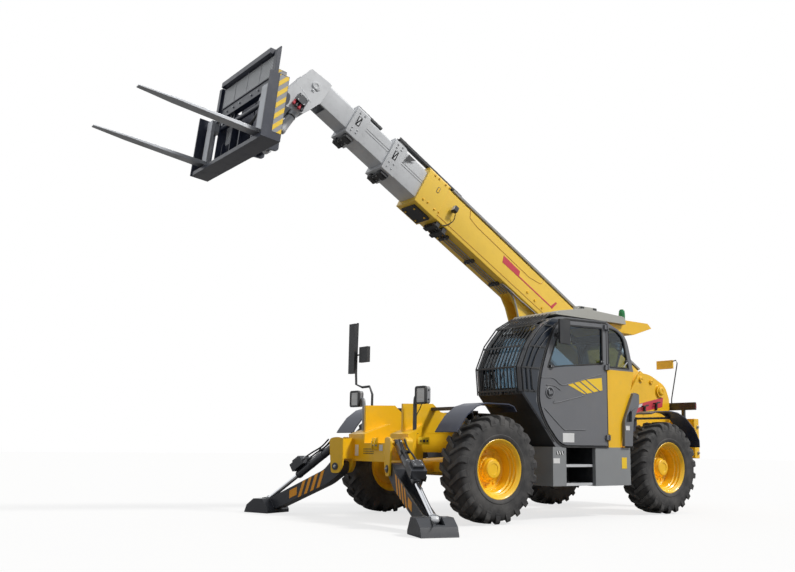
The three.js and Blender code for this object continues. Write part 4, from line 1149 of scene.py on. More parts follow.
@dataclass(frozen=True)
class EdgeBreaker:
    """Modifiers that break the sharp edges of a CAD node and shade its round faces smooth."""

    width: float = 0.004
    sharp: float = 30.0

    def group(self) -> bpy.types.NodeTree:
        """Geometry nodes that join split corners and shade by angle, made once.

        Returns:
            The node group.
        """
        found = bpy.data.node_groups.get("joined_and_smooth")
        if found:
            return found
        made = bpy.data.node_groups.new("joined_and_smooth", "GeometryNodeTree")
        made.interface.new_socket("Geometry", in_out="INPUT", socket_type="NodeSocketGeometry")
        made.interface.new_socket("Geometry", in_out="OUTPUT", socket_type="NodeSocketGeometry")
        sheet = Sheet(made)
        start, end = sheet.node("NodeGroupInput"), sheet.node("NodeGroupOutput")
        merge = sheet.node("GeometryNodeMergeByDistance")
        merge.inputs["Distance"].default_value = 2e-5
        plain = sheet.node("GeometryNodeRemoveAttribute")
        plain.inputs["Name"].default_value = "custom_normal"
        soft = sheet.node("GeometryNodeSetShadeSmooth")
        hard = sheet.node("GeometryNodeSetShadeSmooth", domain="EDGE")
        hard.inputs["Shade Smooth"].default_value = False
        angle = sheet.node("GeometryNodeInputMeshEdgeAngle")
        steep = sheet.node("FunctionNodeCompare", data_type="FLOAT", operation="GREATER_THAN")
        steep.inputs[1].default_value = math.radians(self.sharp)
        sheet.wire(angle.outputs["Unsigned Angle"], steep.inputs[0])
        sheet.wire(start.outputs[0], merge.inputs["Geometry"])
        sheet.wire(merge.outputs["Geometry"], plain.inputs["Geometry"])
        sheet.wire(plain.outputs["Geometry"], soft.inputs["Geometry"])
        sheet.wire(soft.outputs["Geometry"], hard.inputs["Geometry"])
        sheet.wire(steep.outputs[0], hard.inputs["Selection"])
        sheet.wire(hard.outputs["Geometry"], end.inputs[0])
        return made

    def apply(self, node: bpy.types.Object) -> None:
        """Adds the modifiers to a CAD node.

        Args:
            node: The CAD node.
        """
        joined = node.modifiers.new("joined", "NODES")
        joined.node_group = self.group()
        flat = node.modifiers.new("flat_faces", "DECIMATE")
        flat.decimate_type = "DISSOLVE"
        flat.angle_limit = math.radians(0.6)
        if self.width:
            edge = node.modifiers.new("broken_edges", "BEVEL")
            edge.width = self.width
            edge.segments = 2
            edge.limit_method = "ANGLE"
            edge.angle_limit = math.radians(38)
            edge.harden_normals = True


def dress_node(name: str, finish: Finish, breaker: EdgeBreaker = EdgeBreaker()) -> None:
    """Gives a CAD node its finish and broken edges.

    Args:
        name: The node.
        finish: Its finish.
        breaker: How its edges are broken.
    """
    node = frame["nodes"][name]
    node.data.materials.clear()
    node.data.materials.append(finish.material())
    breaker.apply(node)


def ribbon(points: Sequence[tuple[float, float]], width: float) -> list[tuple[float, float]]:
    """The outline of a strip of one width along an open path in a plane.

    Args:
        points: The middle line.
        width: The strip's width.

    Returns:
        The outline's points.
    """
    half = width / 2
    left, right = [], []
    for i, point in enumerate(points):
        here = Vector(point)
        before = here - Vector(points[i - 1]) if i else Vector(points[1]) - here
        after = Vector(points[i + 1]) - here if i + 1 < len(points) else before
        along = (before.normalized() + after.normalized()).normalized()
        side = Vector((-along.y, along.x)) * half
        left.append(tuple(here + side))
        right.append(tuple(here - side))
    return left + right[::-1]


def middle(name: str) -> Vector:
    """The middle of a CAD node's box."""
    low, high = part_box(name)
    return (low + high) / 2


# ---------------------------------------------------------------- wheels


@dataclass
class Wheels:
    """Four tractor-pattern wheels with deep dished rims and planetary hubs."""

    crown: float = 0.580
    top: float = 0.6062
    wall: float = 0.1915
    bead: float = 0.318
    bars: int = 22
    facets: int = 96
    rim_edge: float = 0.336
    studs: int = 10
    stud_ring: float = 0.192
    hub_radius: float = 0.112

    def frame_at(self, node: str, side: Side) -> Matrix:
        """The wheel's own frame: Z along the axle, outwards."""
        return Matrix.Translation(middle(node)) @ Matrix.Rotation(-side.value * math.pi / 2, 4, "X")

    def carcass(self) -> list[tuple[float, float]]:
        """The closed profile of the tyre without its bars.

        Returns:
            The profile's points.
        """
        half = [(self.bead, 0.160), (0.340, 0.178), (0.362, 0.1885), (0.378, 0.1900), (0.386, 0.1845)]
        half += [
            (0.430, 0.1885), (0.480, 0.1885), (0.520, 0.182), (0.552, 0.168), (0.570, 0.140), (0.577, 0.080)
        ]
        inner = [(0.325, 0.120), (0.520, 0.120)]
        outer = [(r, -z) for r, z in half] + [(self.crown, 0.0)] + [(r, z) for r, z in reversed(half)]
        return outer + inner + [(r, -z) for r, z in reversed(inner)]

    def bar(self, shape: Shape, start: float, half: int, lean: int) -> None:
        """Adds one tread bar.

        Args:
            shape: The tyre.
            start: The angle at which the bar meets the middle.
            half: 1 for the outer half of the tread, -1 for the inner.
            lean: 1 or -1, the way the bar trails round the tyre.
        """
        stations = (
            (-0.014, 0.0, 0.000, 0.570, 0.023),
            (0.036, 0.0, 0.046, 0.570, 0.026),
            (0.084, 0.0, 0.100, 0.570, 0.029),
            (0.128, -0.002, 0.150, 0.562, 0.033),
            (0.162, -0.008, 0.186, 0.546, 0.038),
            (0.181, -0.024, 0.203, 0.525, 0.041),
            (self.wall, -0.056, 0.211, 0.500, 0.040),
            (self.wall - 0.003, -0.092, 0.213, 0.480, 0.034),
        )
        verts: list[Point] = []
        for z, drop, trail, base, wide in stations:
            centre = start + lean * trail
            high = self.top + drop
            for radius, share in ((base, -1.15), (high, -0.8), (high, 0.8), (base, 1.15)):
                angle = centre + share * wide / self.crown
                verts.append((radius * math.cos(angle), radius * math.sin(angle), half * z))
        faces: list[tuple[int, ...]] = [(0, 1, 2, 3)]
        last = len(stations) - 1
        for i in range(last):
            for k in range(4):
                m = (k + 1) % 4
                faces.append((i * 4 + k, i * 4 + m, i * 4 + 4 + m, i * 4 + 4 + k))
        faces.append(tuple(last * 4 + k for k in range(4)))
        shape.add(verts, faces)

    def tyre(self, side: Side) -> Shape:
        """A tyre for one side of the machine.

        Args:
            side: The side of the machine.

        Returns:
            The tyre's shape.
        """
        shape = Shape()
        shape.turned(self.carcass(), self.facets, closed=True)
        pitch = 2 * math.pi / self.bars
        for i in range(self.bars):
            self.bar(shape, i * pitch, 1, -side.value)
            self.bar(shape, (i + 0.5) * pitch, -1, -side.value)
        return shape

    def rim(self) -> Shape:
        """The rim with its stepped dish, disc, studs, hub and valve.

        Returns:
            The rim's shape.
        """
        shape = Shape()
        back = [(0.262, -0.050), (0.262, -0.080), (0.288, -0.120), (0.300, -0.145), (self.rim_edge, -0.164)]
        back += [
            (self.rim_edge + 0.002, -0.172), (0.328, -0.176), (0.306, -0.164), (0.284, -0.142),
            (0.272, -0.110), (0.250, -0.085)
        ]
        front = [
            (0.250, 0.020), (0.258, 0.034), (0.258, 0.062), (0.274, 0.072), (0.274, 0.104), (0.290, 0.116)
        ]
        front += [
            (0.290, 0.142), (0.306, 0.156), (0.318, 0.172), (0.330, 0.1765), (self.rim_edge + 0.002, 0.172)
        ]
        front += [(self.rim_edge, 0.164), (0.314, 0.150), (0.302, 0.135), (0.300, 0.100), (0.284, 0.050)]
        shape.turned(back + front, self.facets, closed=True)
        disc = [
            (0.264, -0.046), (0.236, -0.044), (0.222, -0.058), (0.128, -0.058), (0.128, -0.078),
            (0.224, -0.078), (0.250, -0.066), (0.264, -0.066)
        ]
        shape.turned(disc, 72, closed=True)
        hub = [
            (0.150, -0.080), (0.150, -0.040), (0.142, -0.030), (0.138, -0.004), (0.126, 0.004),
            (0.122, 0.040)
        ]
        hub += [
            (self.hub_radius, 0.050), (self.hub_radius - 0.006, 0.070), (0.096, 0.078), (0.062, 0.080),
            (0.058, 0.074), (0.0, 0.074)
        ]
        shape.turned([(0.0, -0.080), *hub], 48)
        for i in range(self.studs):
            angle = 2 * math.pi * (i + 0.5) / self.studs
            shape.bolt(
                (self.stud_ring * math.cos(angle), self.stud_ring * math.sin(angle), -0.058), (0, 0, 1),
                0.019, 1
            )
        for i in range(8):
            angle = 2 * math.pi * i / 8
            shape.bolt((0.131 * math.cos(angle), 0.131 * math.sin(angle), 0.0), (0, 0, 1), 0.009)
        shape.tube([(0.236, 0.03, -0.03), (0.240, 0.03, 0.02), (0.252, 0.032, 0.05)], 0.005, 8, 2, smooth=3)
        return shape

    def build(self) -> None:
        """Builds the wheels and dresses the axles."""
        rim_mesh: bpy.types.Object | None = None
        tyres: dict[Side, bpy.types.Object] = {}
        for end in ("front", "rear"):
            for side in Side:
                label = f"{end}_{side.name.lower()}"
                at = self.frame_at(f"tyre_{label}", side)
                body = f"wheel_{label}"
                if side in tyres:
                    twin(tyres[side], f"tyre_body_{label}", body, at, [f"tyre_{label}"])
                else:
                    tyres[side] = piece(
                        f"tyre_body_{label}", self.tyre(side), [Finishes.TREAD], body, at,
                        0.003, [f"tyre_{label}"]
                    )
                if rim_mesh:
                    twin(rim_mesh, f"wheel_disc_{label}", body, at, [f"rim_{label}"])
                else:
                    rim_mesh = piece(
                        f"wheel_disc_{label}", self.rim(),
                        [Finishes.WHEEL, Finishes.WHEEL, Finishes.RUBBER], body, at, 0,
                        [f"rim_{label}"]
                    )
        for node in ("front_axle", "rear_axle"):
            dress_node(node, Finishes.WHEEL)
        for end in ("front", "rear"):
            for side in Side:
                dress_node(f"knuckle_{end}_{side.name.lower()}", Finishes.WHEEL)
        dress_node("drive_shaft", Finishes.IRON)


# ---------------------------------------------------------------- hydraulic rams


@dataclass
class Ram:
    """A hydraulic ram: barrel with gland, eyes and ports, and a chromed rod."""

    label: str
    start: Vector
    end: Vector
    barrel_end: float
    barrel_radius: float
    rod_radius: float
    rod_start: float
    eye_radius: float
    eye_half: float
    barrel_node: str
    rod_node: str
    barrel_finish: Finish
    eye_finish: Finish
    rod_finish: Finish = Finishes.CHROME

    def frame(self) -> tuple[Matrix, float]:
        """The ram's frame, X along it from the base pin, and its length.

        Returns:
            The frame and the length.
        """
        along = self.end - self.start
        axis = along.normalized()
        flat = Vector((along.x, along.y, 0)).normalized()
        side = Vector((-flat.y, flat.x, 0))
        turn = Matrix((axis, side, axis.cross(side))).transposed().to_4x4()
        return Matrix.Translation(self.start) @ turn, along.length

    def along(
        self, profile: Sequence[tuple[float, float]], shape: Shape, finish: int, sides: int = 48
    ) -> None:
        """Turns a profile of (radius, distance along) about the ram's axis."""
        shape.turned(profile, sides, finish, Matrix.Rotation(math.pi / 2, 4, "Y"))

    def eye(self, shape: Shape, x: float, finish: int) -> None:
        """Adds the round eye about the pin at x.

        Args:
            shape: The piece.
            x: Where its pin is.
            finish: Its finish's number.
        """
        turn = Matrix.Translation((x, 0, 0)) @ Matrix.Rotation(math.pi / 2, 4, "X")
        r, h = self.eye_radius, self.eye_half
        bore = r * 0.55
        shape.turned(
            [(bore, -h), (r * 0.94, -h), (r, -h * 0.9), (r, h * 0.9), (r * 0.94, h), (bore, h)], 40, finish,
            turn, closed=True
        )

    def barrel(self) -> Shape:
        """The barrel with its gland, base eye, weld and oil ports.

        Returns:
            The barrel's shape.
        """
        shape, b, e = Shape(), self.barrel_radius, self.barrel_end
        self.eye(shape, 0, 0)
        neck = self.eye_radius * 0.9
        body = [(0.0, neck), (b * 0.72, neck), (b * 0.86, neck + 0.012), (b, neck + 0.03), (b, e - b * 0.9)]
        body += [
            (b * 1.05, e - b * 0.86), (b * 1.05, e - b * 0.3), (b * 0.98, e - b * 0.26), (b * 0.98, e),
            (b * 0.8, e + 0.006)
        ]
        bore = self.rod_radius * 1.03
        body += [(self.rod_radius * 1.25, e + 0.008), (self.rod_radius * 1.25, e - 0.02), (bore, e - 0.022)]
        body += [(bore, neck + 0.055), (0.0, neck + 0.055)]
        self.along(body, shape, 0)
        for x in (neck + b * 0.9, e - b * 1.4):
            shape.turned(
                [
                    (0.0, b * 0.7), (b * 0.26, b * 0.7), (b * 0.26, b * 1.14), (b * 0.2, b * 1.2),
                    (0.0, b * 1.2)
                ],
                16, 0, Matrix.Translation((x, 0, 0))
            )
        line = [
            (neck + b * 0.9, 0, b * 1.16), (neck + b * 1.4, 0, b * 1.34), (e * 0.5, 0, b * 1.24),
            (e - b * 2.0, 0, b * 1.32), (e - b * 1.4, 0, b * 1.16)
        ]
        shape.tube(line, b * 0.12, 8, 1, smooth=5)
        for x in (e * 0.36, e * 0.66):
            self.along(span_oblong((b * 0.99, b * 1.05), (x - 0.008, x + 0.008)), shape, 1)
            shape.block((x - 0.014, x + 0.014), (-b * 0.24, b * 0.24), (b * 1.0, b * 1.4), 1)
        return shape

    def rod(self, length: float) -> Shape:
        """The chromed rod with the eye at its end.

        Args:
            length: The distance between the ram's pins.

        Returns:
            The rod's shape.
        """
        shape, r = Shape(), self.rod_radius
        end = length - self.eye_radius * 0.85
        collar = end - self.eye_radius * 0.5
        self.along([(0.0, self.rod_start), (r, self.rod_start), (r, collar)], shape, 0)
        self.along(
            [(0.0, collar), (r * 1.25, collar), (r * 1.5, collar + 0.012), (r * 1.5, end), (0.0, end)],
            shape, 1
        )
        self.eye(shape, length, 1)
        return shape

    def build(self) -> None:
        """Builds both halves on their bodies."""
        at, length = self.frame()
        piece(
            f"{self.label}_tube", self.barrel(), [self.barrel_finish, Finishes.RUBBER],
            frame_body(self.barrel_node), at, 0.001, [self.barrel_node]
        )
        piece(
            f"{self.label}_shaft", self.rod(length), [self.rod_finish, self.eye_finish],
            frame_body(self.rod_node), at, 0.0008, [self.rod_node]
        )


# ---------------------------------------------------------------- boom


@dataclass
class Section:
    """One telescoping tube's measures in the boom's own plane."""

    body: str
    rear: float
    half: float
    low: float
    high: float
    collar_start: float
    end: float


@dataclass
class Boom:
    """The boom: fittings, collars' bolts and slots, pads, trays, stripes and lines."""

    base_half: float = 0.170
    base_top: float = 0.130
    base_low: float = -0.386
    sections: tuple[Section, ...] = (
        Section("boom_section_2", 0.750, 0.153, -0.348, 0.100, 5.465, 5.665),
        Section("boom_section_3", 1.150, 0.136, -0.305, 0.076, 6.075, 6.280),
    )

    def mark(
        self, shape: Shape, outline: Sequence[tuple[float, float]], wall: float, finish: int,
        sides: Sequence[int] = (1, -1), thick: float = 0.0016
    ) -> None:
        """Adds a thin mark on the boom's side walls.

        Args:
            shape: The piece.
            outline: The mark's outline along the boom.
            wall: How far the wall is from the boom's middle.
            finish: Its finish's number.
            sides: The walls that carry it.
            thick: Its thickness.
        """
        for s in sides:
            low, high = sorted((s * (wall + HAIR), s * (wall + HAIR + thick)))
            shape.plate(outline, Axis.Y, low, high, finish)

    def base_marks(self) -> None:
        """The red stripe, the pressed line and lower seam in painted shade, and the weld bosses of the outer
        tube.
        """
        wall = self.base_half
        stripe = Shape()
        block = [(3.520, -0.072), (3.492, -0.170), (3.150, -0.166), (3.172, -0.080)]
        lower = [(3.152, -0.166), (3.156, -0.146), (2.452, -0.146), (2.452, -0.166)]
        tail = [(2.454, -0.166), (2.420, -0.172), (2.372, -0.042), (2.402, -0.040), (2.454, -0.138)]
        self.mark(stripe, block, wall, 0)
        self.mark(stripe, lower, wall, 0)
        self.mark(stripe, tail, wall, 0)
        piece("boom_red_stripe", stripe, [Finishes.RED], "boom_base", BOOM)
        # The pressed line and the lower seam are thin strips in a darker orange: painted shade along the
        # crease and the seam.
        pressed = Shape()
        line = [
            (4.286, 0.100), (4.237, -0.013), (4.076, -0.038), (2.988, -0.046), (2.771, 0.004),
            (2.729, 0.100)
        ]
        self.mark(pressed, ribbon(line, 0.007), wall, 0, thick=0.003)
        seam = [(1.0, -0.315), (4.690, -0.330)]
        self.mark(pressed, ribbon(seam, 0.008), wall, 0, thick=0.003)
        for s, t in ((2.919, -0.246), (2.751, -0.262), (2.587, -0.273), (1.9, -0.27)):
            self.mark(pressed, circle(s, t, 0.017), wall, 1, thick=0.012)
        piece(
            "boom_pressed_lines", pressed,
            [Paint("pressed_line_paint", linear(198, 140, 20)), Finishes.YELLOW], "boom_base", BOOM
        )

    def base_collar(self) -> None:
        """The outer tube's front collar: bolts, pad slots, and the lamp on its bracket."""
        wall = self.base_half + COLLAR
        shape = Shape()
        for s in (1, -1):
            spots = (
                (4.900, -0.300), (4.975, -0.312), (4.700, -0.300), (4.775, -0.312), (4.905, 0.085),
                (4.975, 0.078), (4.715, 0.090), (4.785, 0.086)
            )
            shape.bolts([(a, s * wall, b) for a, b in spots], (0, s, 0), 0.016, 0)
        self.mark(shape, slot(4.845, -0.055, 0.090, 0.045, 90), wall, 1)
        self.mark(shape, inset(slot(4.845, -0.055, 0.090, 0.045, 90), 0.008), wall + 0.002, 0)
        for s in (1, -1):
            shape.bolts([(4.740, s * 0.060 * k, self.base_top + COLLAR) for k in (1, 2)], (0, 0, 1), 0.015, 0)
        shape.block((4.74, 5.02), (-0.13, 0.13), (self.base_low - 0.052, self.base_low - 0.0245), 2)
        shape.bolts(
            [(s, y, self.base_low - 0.052) for s in (4.79, 4.97) for y in (-0.09, 0.09)], (0, 0, -1), 0.014,
            0
        )
        piece(
            "boom_collar_fittings", shape, [Finishes.YELLOW, Finishes.BLACK, Finishes.BLACK], "boom_base",
            BOOM, bevel=0.001
        )
        lamp = Shape()
        lamp.block((4.505, 4.535), (wall - 0.02, wall + 0.03), (-0.150, -0.090), 0)
        lamp.plate(
            rounded_oblong((wall + 0.012, wall + 0.078), (-0.165, -0.085), 0.012), Axis.X, 4.500, 4.560, 0
        )
        lamp.plate(
            rounded_oblong((wall + 0.020, wall + 0.070), (-0.157, -0.093), 0.008), Axis.X, 4.560, 4.566, 1
        )
        lamp.tube(
            [
                (4.50, wall + 0.04, -0.15), (4.46, wall + 0.01, -0.24), (4.50, wall - 0.012, -0.34),
                (4.56, 0.165, -0.40)
            ],
            0.006, 8, 2, smooth=6
        )
        piece(
            "boom_work_lamp", lamp, [Finishes.BLACK, Finishes.LENS, Finishes.RUBBER], "boom_base", BOOM,
            0.0015
        )

    def base_lines(self) -> None:
        """Steel oil lines under the outer tube, their clamps, and the rail along its top."""
        low = self.base_low
        shape = Shape()
        for y in (-0.050, 0.0, 0.050):
            shape.tube(
                [
                    (4.62, y, low - 0.030), (4.50, y, low - 0.030), (4.40, y, low - 0.014),
                    (3.30, y, low - 0.014), (3.14, y, low - 0.014)
                ],
                0.008, 10, 0, smooth=3
            )
        shape.tube(
            [
                (3.34, 0.100, low - 0.018), (3.10, 0.120, low - 0.03), (2.98, 0.132, low - 0.12),
                (2.86, 0.136, low - 0.24), (2.76, 0.124, low - 0.30)
            ],
            0.010, 10, 0, smooth=6
        )
        shape.tube(
            [
                (3.34, 0.140, low - 0.018), (3.16, 0.150, low - 0.02), (2.98, 0.156, low - 0.03),
                (2.70, 0.156, low - 0.02), (1.60, 0.156, low - 0.018)
            ],
            0.010, 10, 0, smooth=6
        )
        for s in (4.36, 3.86, 3.36):
            shape.block((s - 0.020, s + 0.020), (-0.085, 0.085), (low - 0.040, low - HAIR), 1)
            shape.bolts([(s, y, low - 0.040) for y in (-0.04, 0.04)], (0, 0, -1), 0.009, 0)
        shape.block((4.46, 4.52), (-0.10, 0.155), (low - 0.075, low - HAIR), 1)
        shape.block((4.58, 4.64), (-0.10, 0.155), (low - 0.060, low - HAIR), 1)
        for y in (-0.05, 0.0, 0.05, 0.12):
            shape.rod((4.43, y, low - 0.056), (4.66, y, low - 0.045), 0.014, 12, 1)
        piece("boom_oil_lines", shape, [Finishes.STEEL, Finishes.BLACK], "boom_base", BOOM, bevel=0.001)
        rail = Shape()
        rail.block((0.40, 4.62), (0.060, 0.150), (self.base_top + HAIR, self.base_top + 0.022), 0)
        rail.block((0.40, 4.62), (0.060, 0.066), (self.base_top + 0.022, self.base_top + 0.030), 0)
        rail.block((0.40, 4.62), (0.144, 0.150), (self.base_top + 0.022, self.base_top + 0.030), 0)
        piece("boom_top_rail", rail, [Finishes.MID_GREY], "boom_base", BOOM)

    def section_fittings(self, section: Section, wide: float) -> None:
        """A telescoping tube's collar bolts, slots, seams and pads.

        Args:
            section: The tube.
            wide: How far its collar stands out from its wall.
        """
        wall = section.half
        face = wall + wide
        shape = Shape()
        mid = (section.collar_start + section.end) / 2 + 0.01
        drop = (section.low + section.high) / 2
        for s in (1, -1):
            spots = []
            for t in (section.high - 0.045, drop + 0.130, drop - 0.100, section.low + 0.050):
                spots += [(mid - 0.036, s * face, t), (mid + 0.036, s * face, t - 0.014)]
            shape.bolts(spots, (0, s, 0), 0.013, 0)
        opening = rounded(
            [
                (mid - 0.030, drop - 0.050, 0.008), (mid + 0.030, drop - 0.056, 0.008),
                (mid + 0.036, drop + 0.076, 0.008), (mid - 0.024, drop + 0.082, 0.008)
            ]
        )
        self.mark(shape, opening, face, 1)
        self.mark(shape, inset(opening, 0.012), face + 0.001, 0, thick=0.003)
        if section.body == "boom_section_2":
            wedge = rounded([(5.300, 0.045, 0.006), (5.440, -0.070, 0.006), (5.425, 0.045, 0.006)])
            self.mark(shape, wedge, face, 1)
        for t in (drop + 0.030, drop - 0.004):
            self.mark(
                shape, ribbon([(section.rear, t), (section.collar_start - 0.02, t)], 0.006), wall, 2,
                thick=0.0025
            )
        for s in (1, -1):
            shape.bolts(
                [(mid + k, s * 0.070, section.high + wide) for k in (-0.05, 0.03)], (0, 0, 1), 0.013, 0
            )
        piece(
            f"{section.body}_fittings", shape, [Finishes.PALE, Finishes.BLACK, Finishes.MID_GREY],
            section.body, BOOM, 0.0008
        )
        pads = Shape()
        low = section.low - wide
        for y in (-0.095, 0.095):
            pads.plate(
                rounded(
                    [
                        (mid - 0.070, low - HAIR), (mid + 0.062, low - HAIR),
                        (mid + 0.064, low - 0.050, 0.015), (mid - 0.058, low - 0.070, 0.02)
                    ]
                ),
                Axis.Y, y - 0.034, y + 0.034, 0
            )
        pads.block((mid - 0.050, mid + 0.050), (-0.150, 0.150), (low - 0.050, low - 0.022), 0)
        pads.bolts(
            [(mid + k, y, low - 0.0505) for k in (-0.03, 0.03) for y in (-0.035, 0.035)], (0, 0, -1), 0.012,
            1
        )
        piece(
            f"{section.body}_wear_pads", pads, [Finishes.BLACK, Finishes.STEEL], section.body, BOOM,
            0.002
        )

    def trays(self) -> None:
        """The black hose trays along the tops of the telescoping tubes."""
        for body, middle_y, half, start, end, low, high in (
            ("boom_section_2", 0.080, 0.035, 4.46, 5.61, 0.164, 0.202),
            ("boom_section_3", 0.000, 0.034, 5.84, 6.25, 0.136, 0.168),
        ):
            shape = Shape()
            shape.block((start, end), (middle_y - half, middle_y + half), (low, low + 0.005), 0)
            for s in (-1, 1):
                edge = sorted((middle_y + s * half, middle_y + s * (half - 0.005)))
                shape.block((start, end), (edge[0], edge[1]), (low + 0.005, high - 0.006), 0)
            for k in (-0.018, 0.0, 0.018):
                shape.tube(
                    [(start + 0.03, middle_y + k, low + 0.016), (end - 0.03, middle_y + k, low + 0.016)],
                    0.008, 8, 1
                )
            count = 6
            for i in range(count):
                x = start + (end - start) * (i + 0.5) / count
                shape.block(
                    (x - 0.012, x + 0.012), (middle_y - half, middle_y + half),
                    (high - 0.008, high - 0.004), 0
                )
            top = self.sections[0].high if body.endswith("2") else self.sections[1].high
            shape.block(
                (end - 0.10, end - 0.02), (middle_y - half * 0.8, middle_y + half * 0.8),
                (top + COLLAR, low), 0
            )
            piece(f"{body}_hose_tray", shape, [Finishes.BLACK, Finishes.RUBBER], body, BOOM)

    def head(self) -> None:
        """The head's pins, and the valve block with its couplings."""
        shape = Shape()
        for s in (1, -1):
            face = s * 0.140
            for x, t, r in ((6.846, -0.145, 0.052), (7.080, -0.560, 0.046)):
                turn = outwards((x, face, t), s)
                shape.turned(
                    [
                        (0.0, HAIR), (r, HAIR), (r, 0.010), (r * 0.82, 0.018), (r * 0.5, 0.018),
                        (r * 0.46, 0.012), (0.0, 0.012)
                    ],
                    32, 0, turn
                )
                shape.plate(
                    rounded_oblong((x - 0.020, x + 0.020), (t - r - 0.035, t - r + 0.012), 0.01), Axis.Y,
                    *sorted((face + s * HAIR, face + s * 0.008)), 0
                )
                shape.bolt((x, face + s * 0.008, t - r - 0.018), (0, s, 0), 0.010, 1)
            self.mark(shape, ribbon([(6.79, -0.36), (6.99, -0.30)], 0.006), 0.140, 1, (s,))
        piece(
            "boom_head_pins", shape, [Finishes.PALE, Finishes.STEEL], "boom_head", BOOM,
            0.001
        )
        valve = Shape()
        valve.block((6.840, 6.970), (0.1415, 0.205), (-0.500, -0.400), 0)
        valve.bolts([(x, 0.205, t) for x in (6.860, 6.950) for t in (-0.485, -0.415)], (0, 1, 0), 0.009, 2)
        for i, (x, finish) in enumerate(((6.865, 0), (6.905, 1), (6.945, 0), (6.985, 1))):
            drop = -0.500 if i < 3 else -0.495
            along = [
                (0.0, 0.0), (0.013, 0.0), (0.013, 0.028), (0.018, 0.032), (0.018, 0.060), (0.011, 0.066),
                (0.0, 0.066)
            ]
            turn = Matrix.Translation((x - 0.02, 0.175, drop)) @ Matrix.Rotation(math.pi, 4, "X")
            valve.turned(along, 16, finish, turn)
        piece(
            "head_coupling_block", valve, [Finishes.DARK, Finishes.RED, Finishes.STEEL], "boom_head", BOOM,
            bevel=0.0012
        )

    def build(self) -> None:
        """Dresses the tubes and builds everything on them."""
        # A paler copy of the machine yellow: painted glare on the boom's sides, with dust and edge colours
        # paler to match.
        boom_glare_yellow = Paint(
            "boom_yellow_paint", linear(252, 210, 74), dust_colour=linear(204, 166, 90),
            wear_colour=linear(160, 116, 44)
        )
        dress_node("boom_base", boom_glare_yellow)
        for node in ("boom_section_2", "boom_section_3", "boom_head"):
            dress_node(node, Finishes.PALE)
        self.base_marks()
        self.base_collar()
        self.base_lines()
        for section in self.sections:
            self.section_fittings(section, COLLAR)
        self.trays()
        self.head()
        lift_pin = MACHINE @ Vector((-0.58, 0, 0.768))
        Ram(
            label="lift_ram",
            start=lift_pin,
            end=BOOM @ Vector((2.706, 0, -0.625)),
            barrel_end=1.740,
            barrel_radius=0.092,
            rod_radius=0.052,
            rod_start=0.70,
            eye_radius=0.060,
            eye_half=0.066,
            barrel_node="lift_cylinder_barrel",
            rod_node="lift_cylinder_rod",
            barrel_finish=Finishes.YELLOW,
            eye_finish=Finishes.YELLOW,
        ).build()
        Ram(
            label="tilt_ram",
            start=BOOM @ Vector((6.833, 0, -0.135)),
            end=BOOM @ Vector((6.885, 0, -1.135)),
            barrel_end=0.700,
            barrel_radius=0.048,
            rod_radius=0.025,
            rod_start=0.40,
            eye_radius=0.044,
            eye_half=0.037,
            barrel_node="tilt_cylinder_barrel",
            rod_node="tilt_cylinder_rod",
            barrel_finish=Finishes.PALE,
            eye_finish=Finishes.PALE,
        ).build()


# ---------------------------------------------------------------- fork carriage


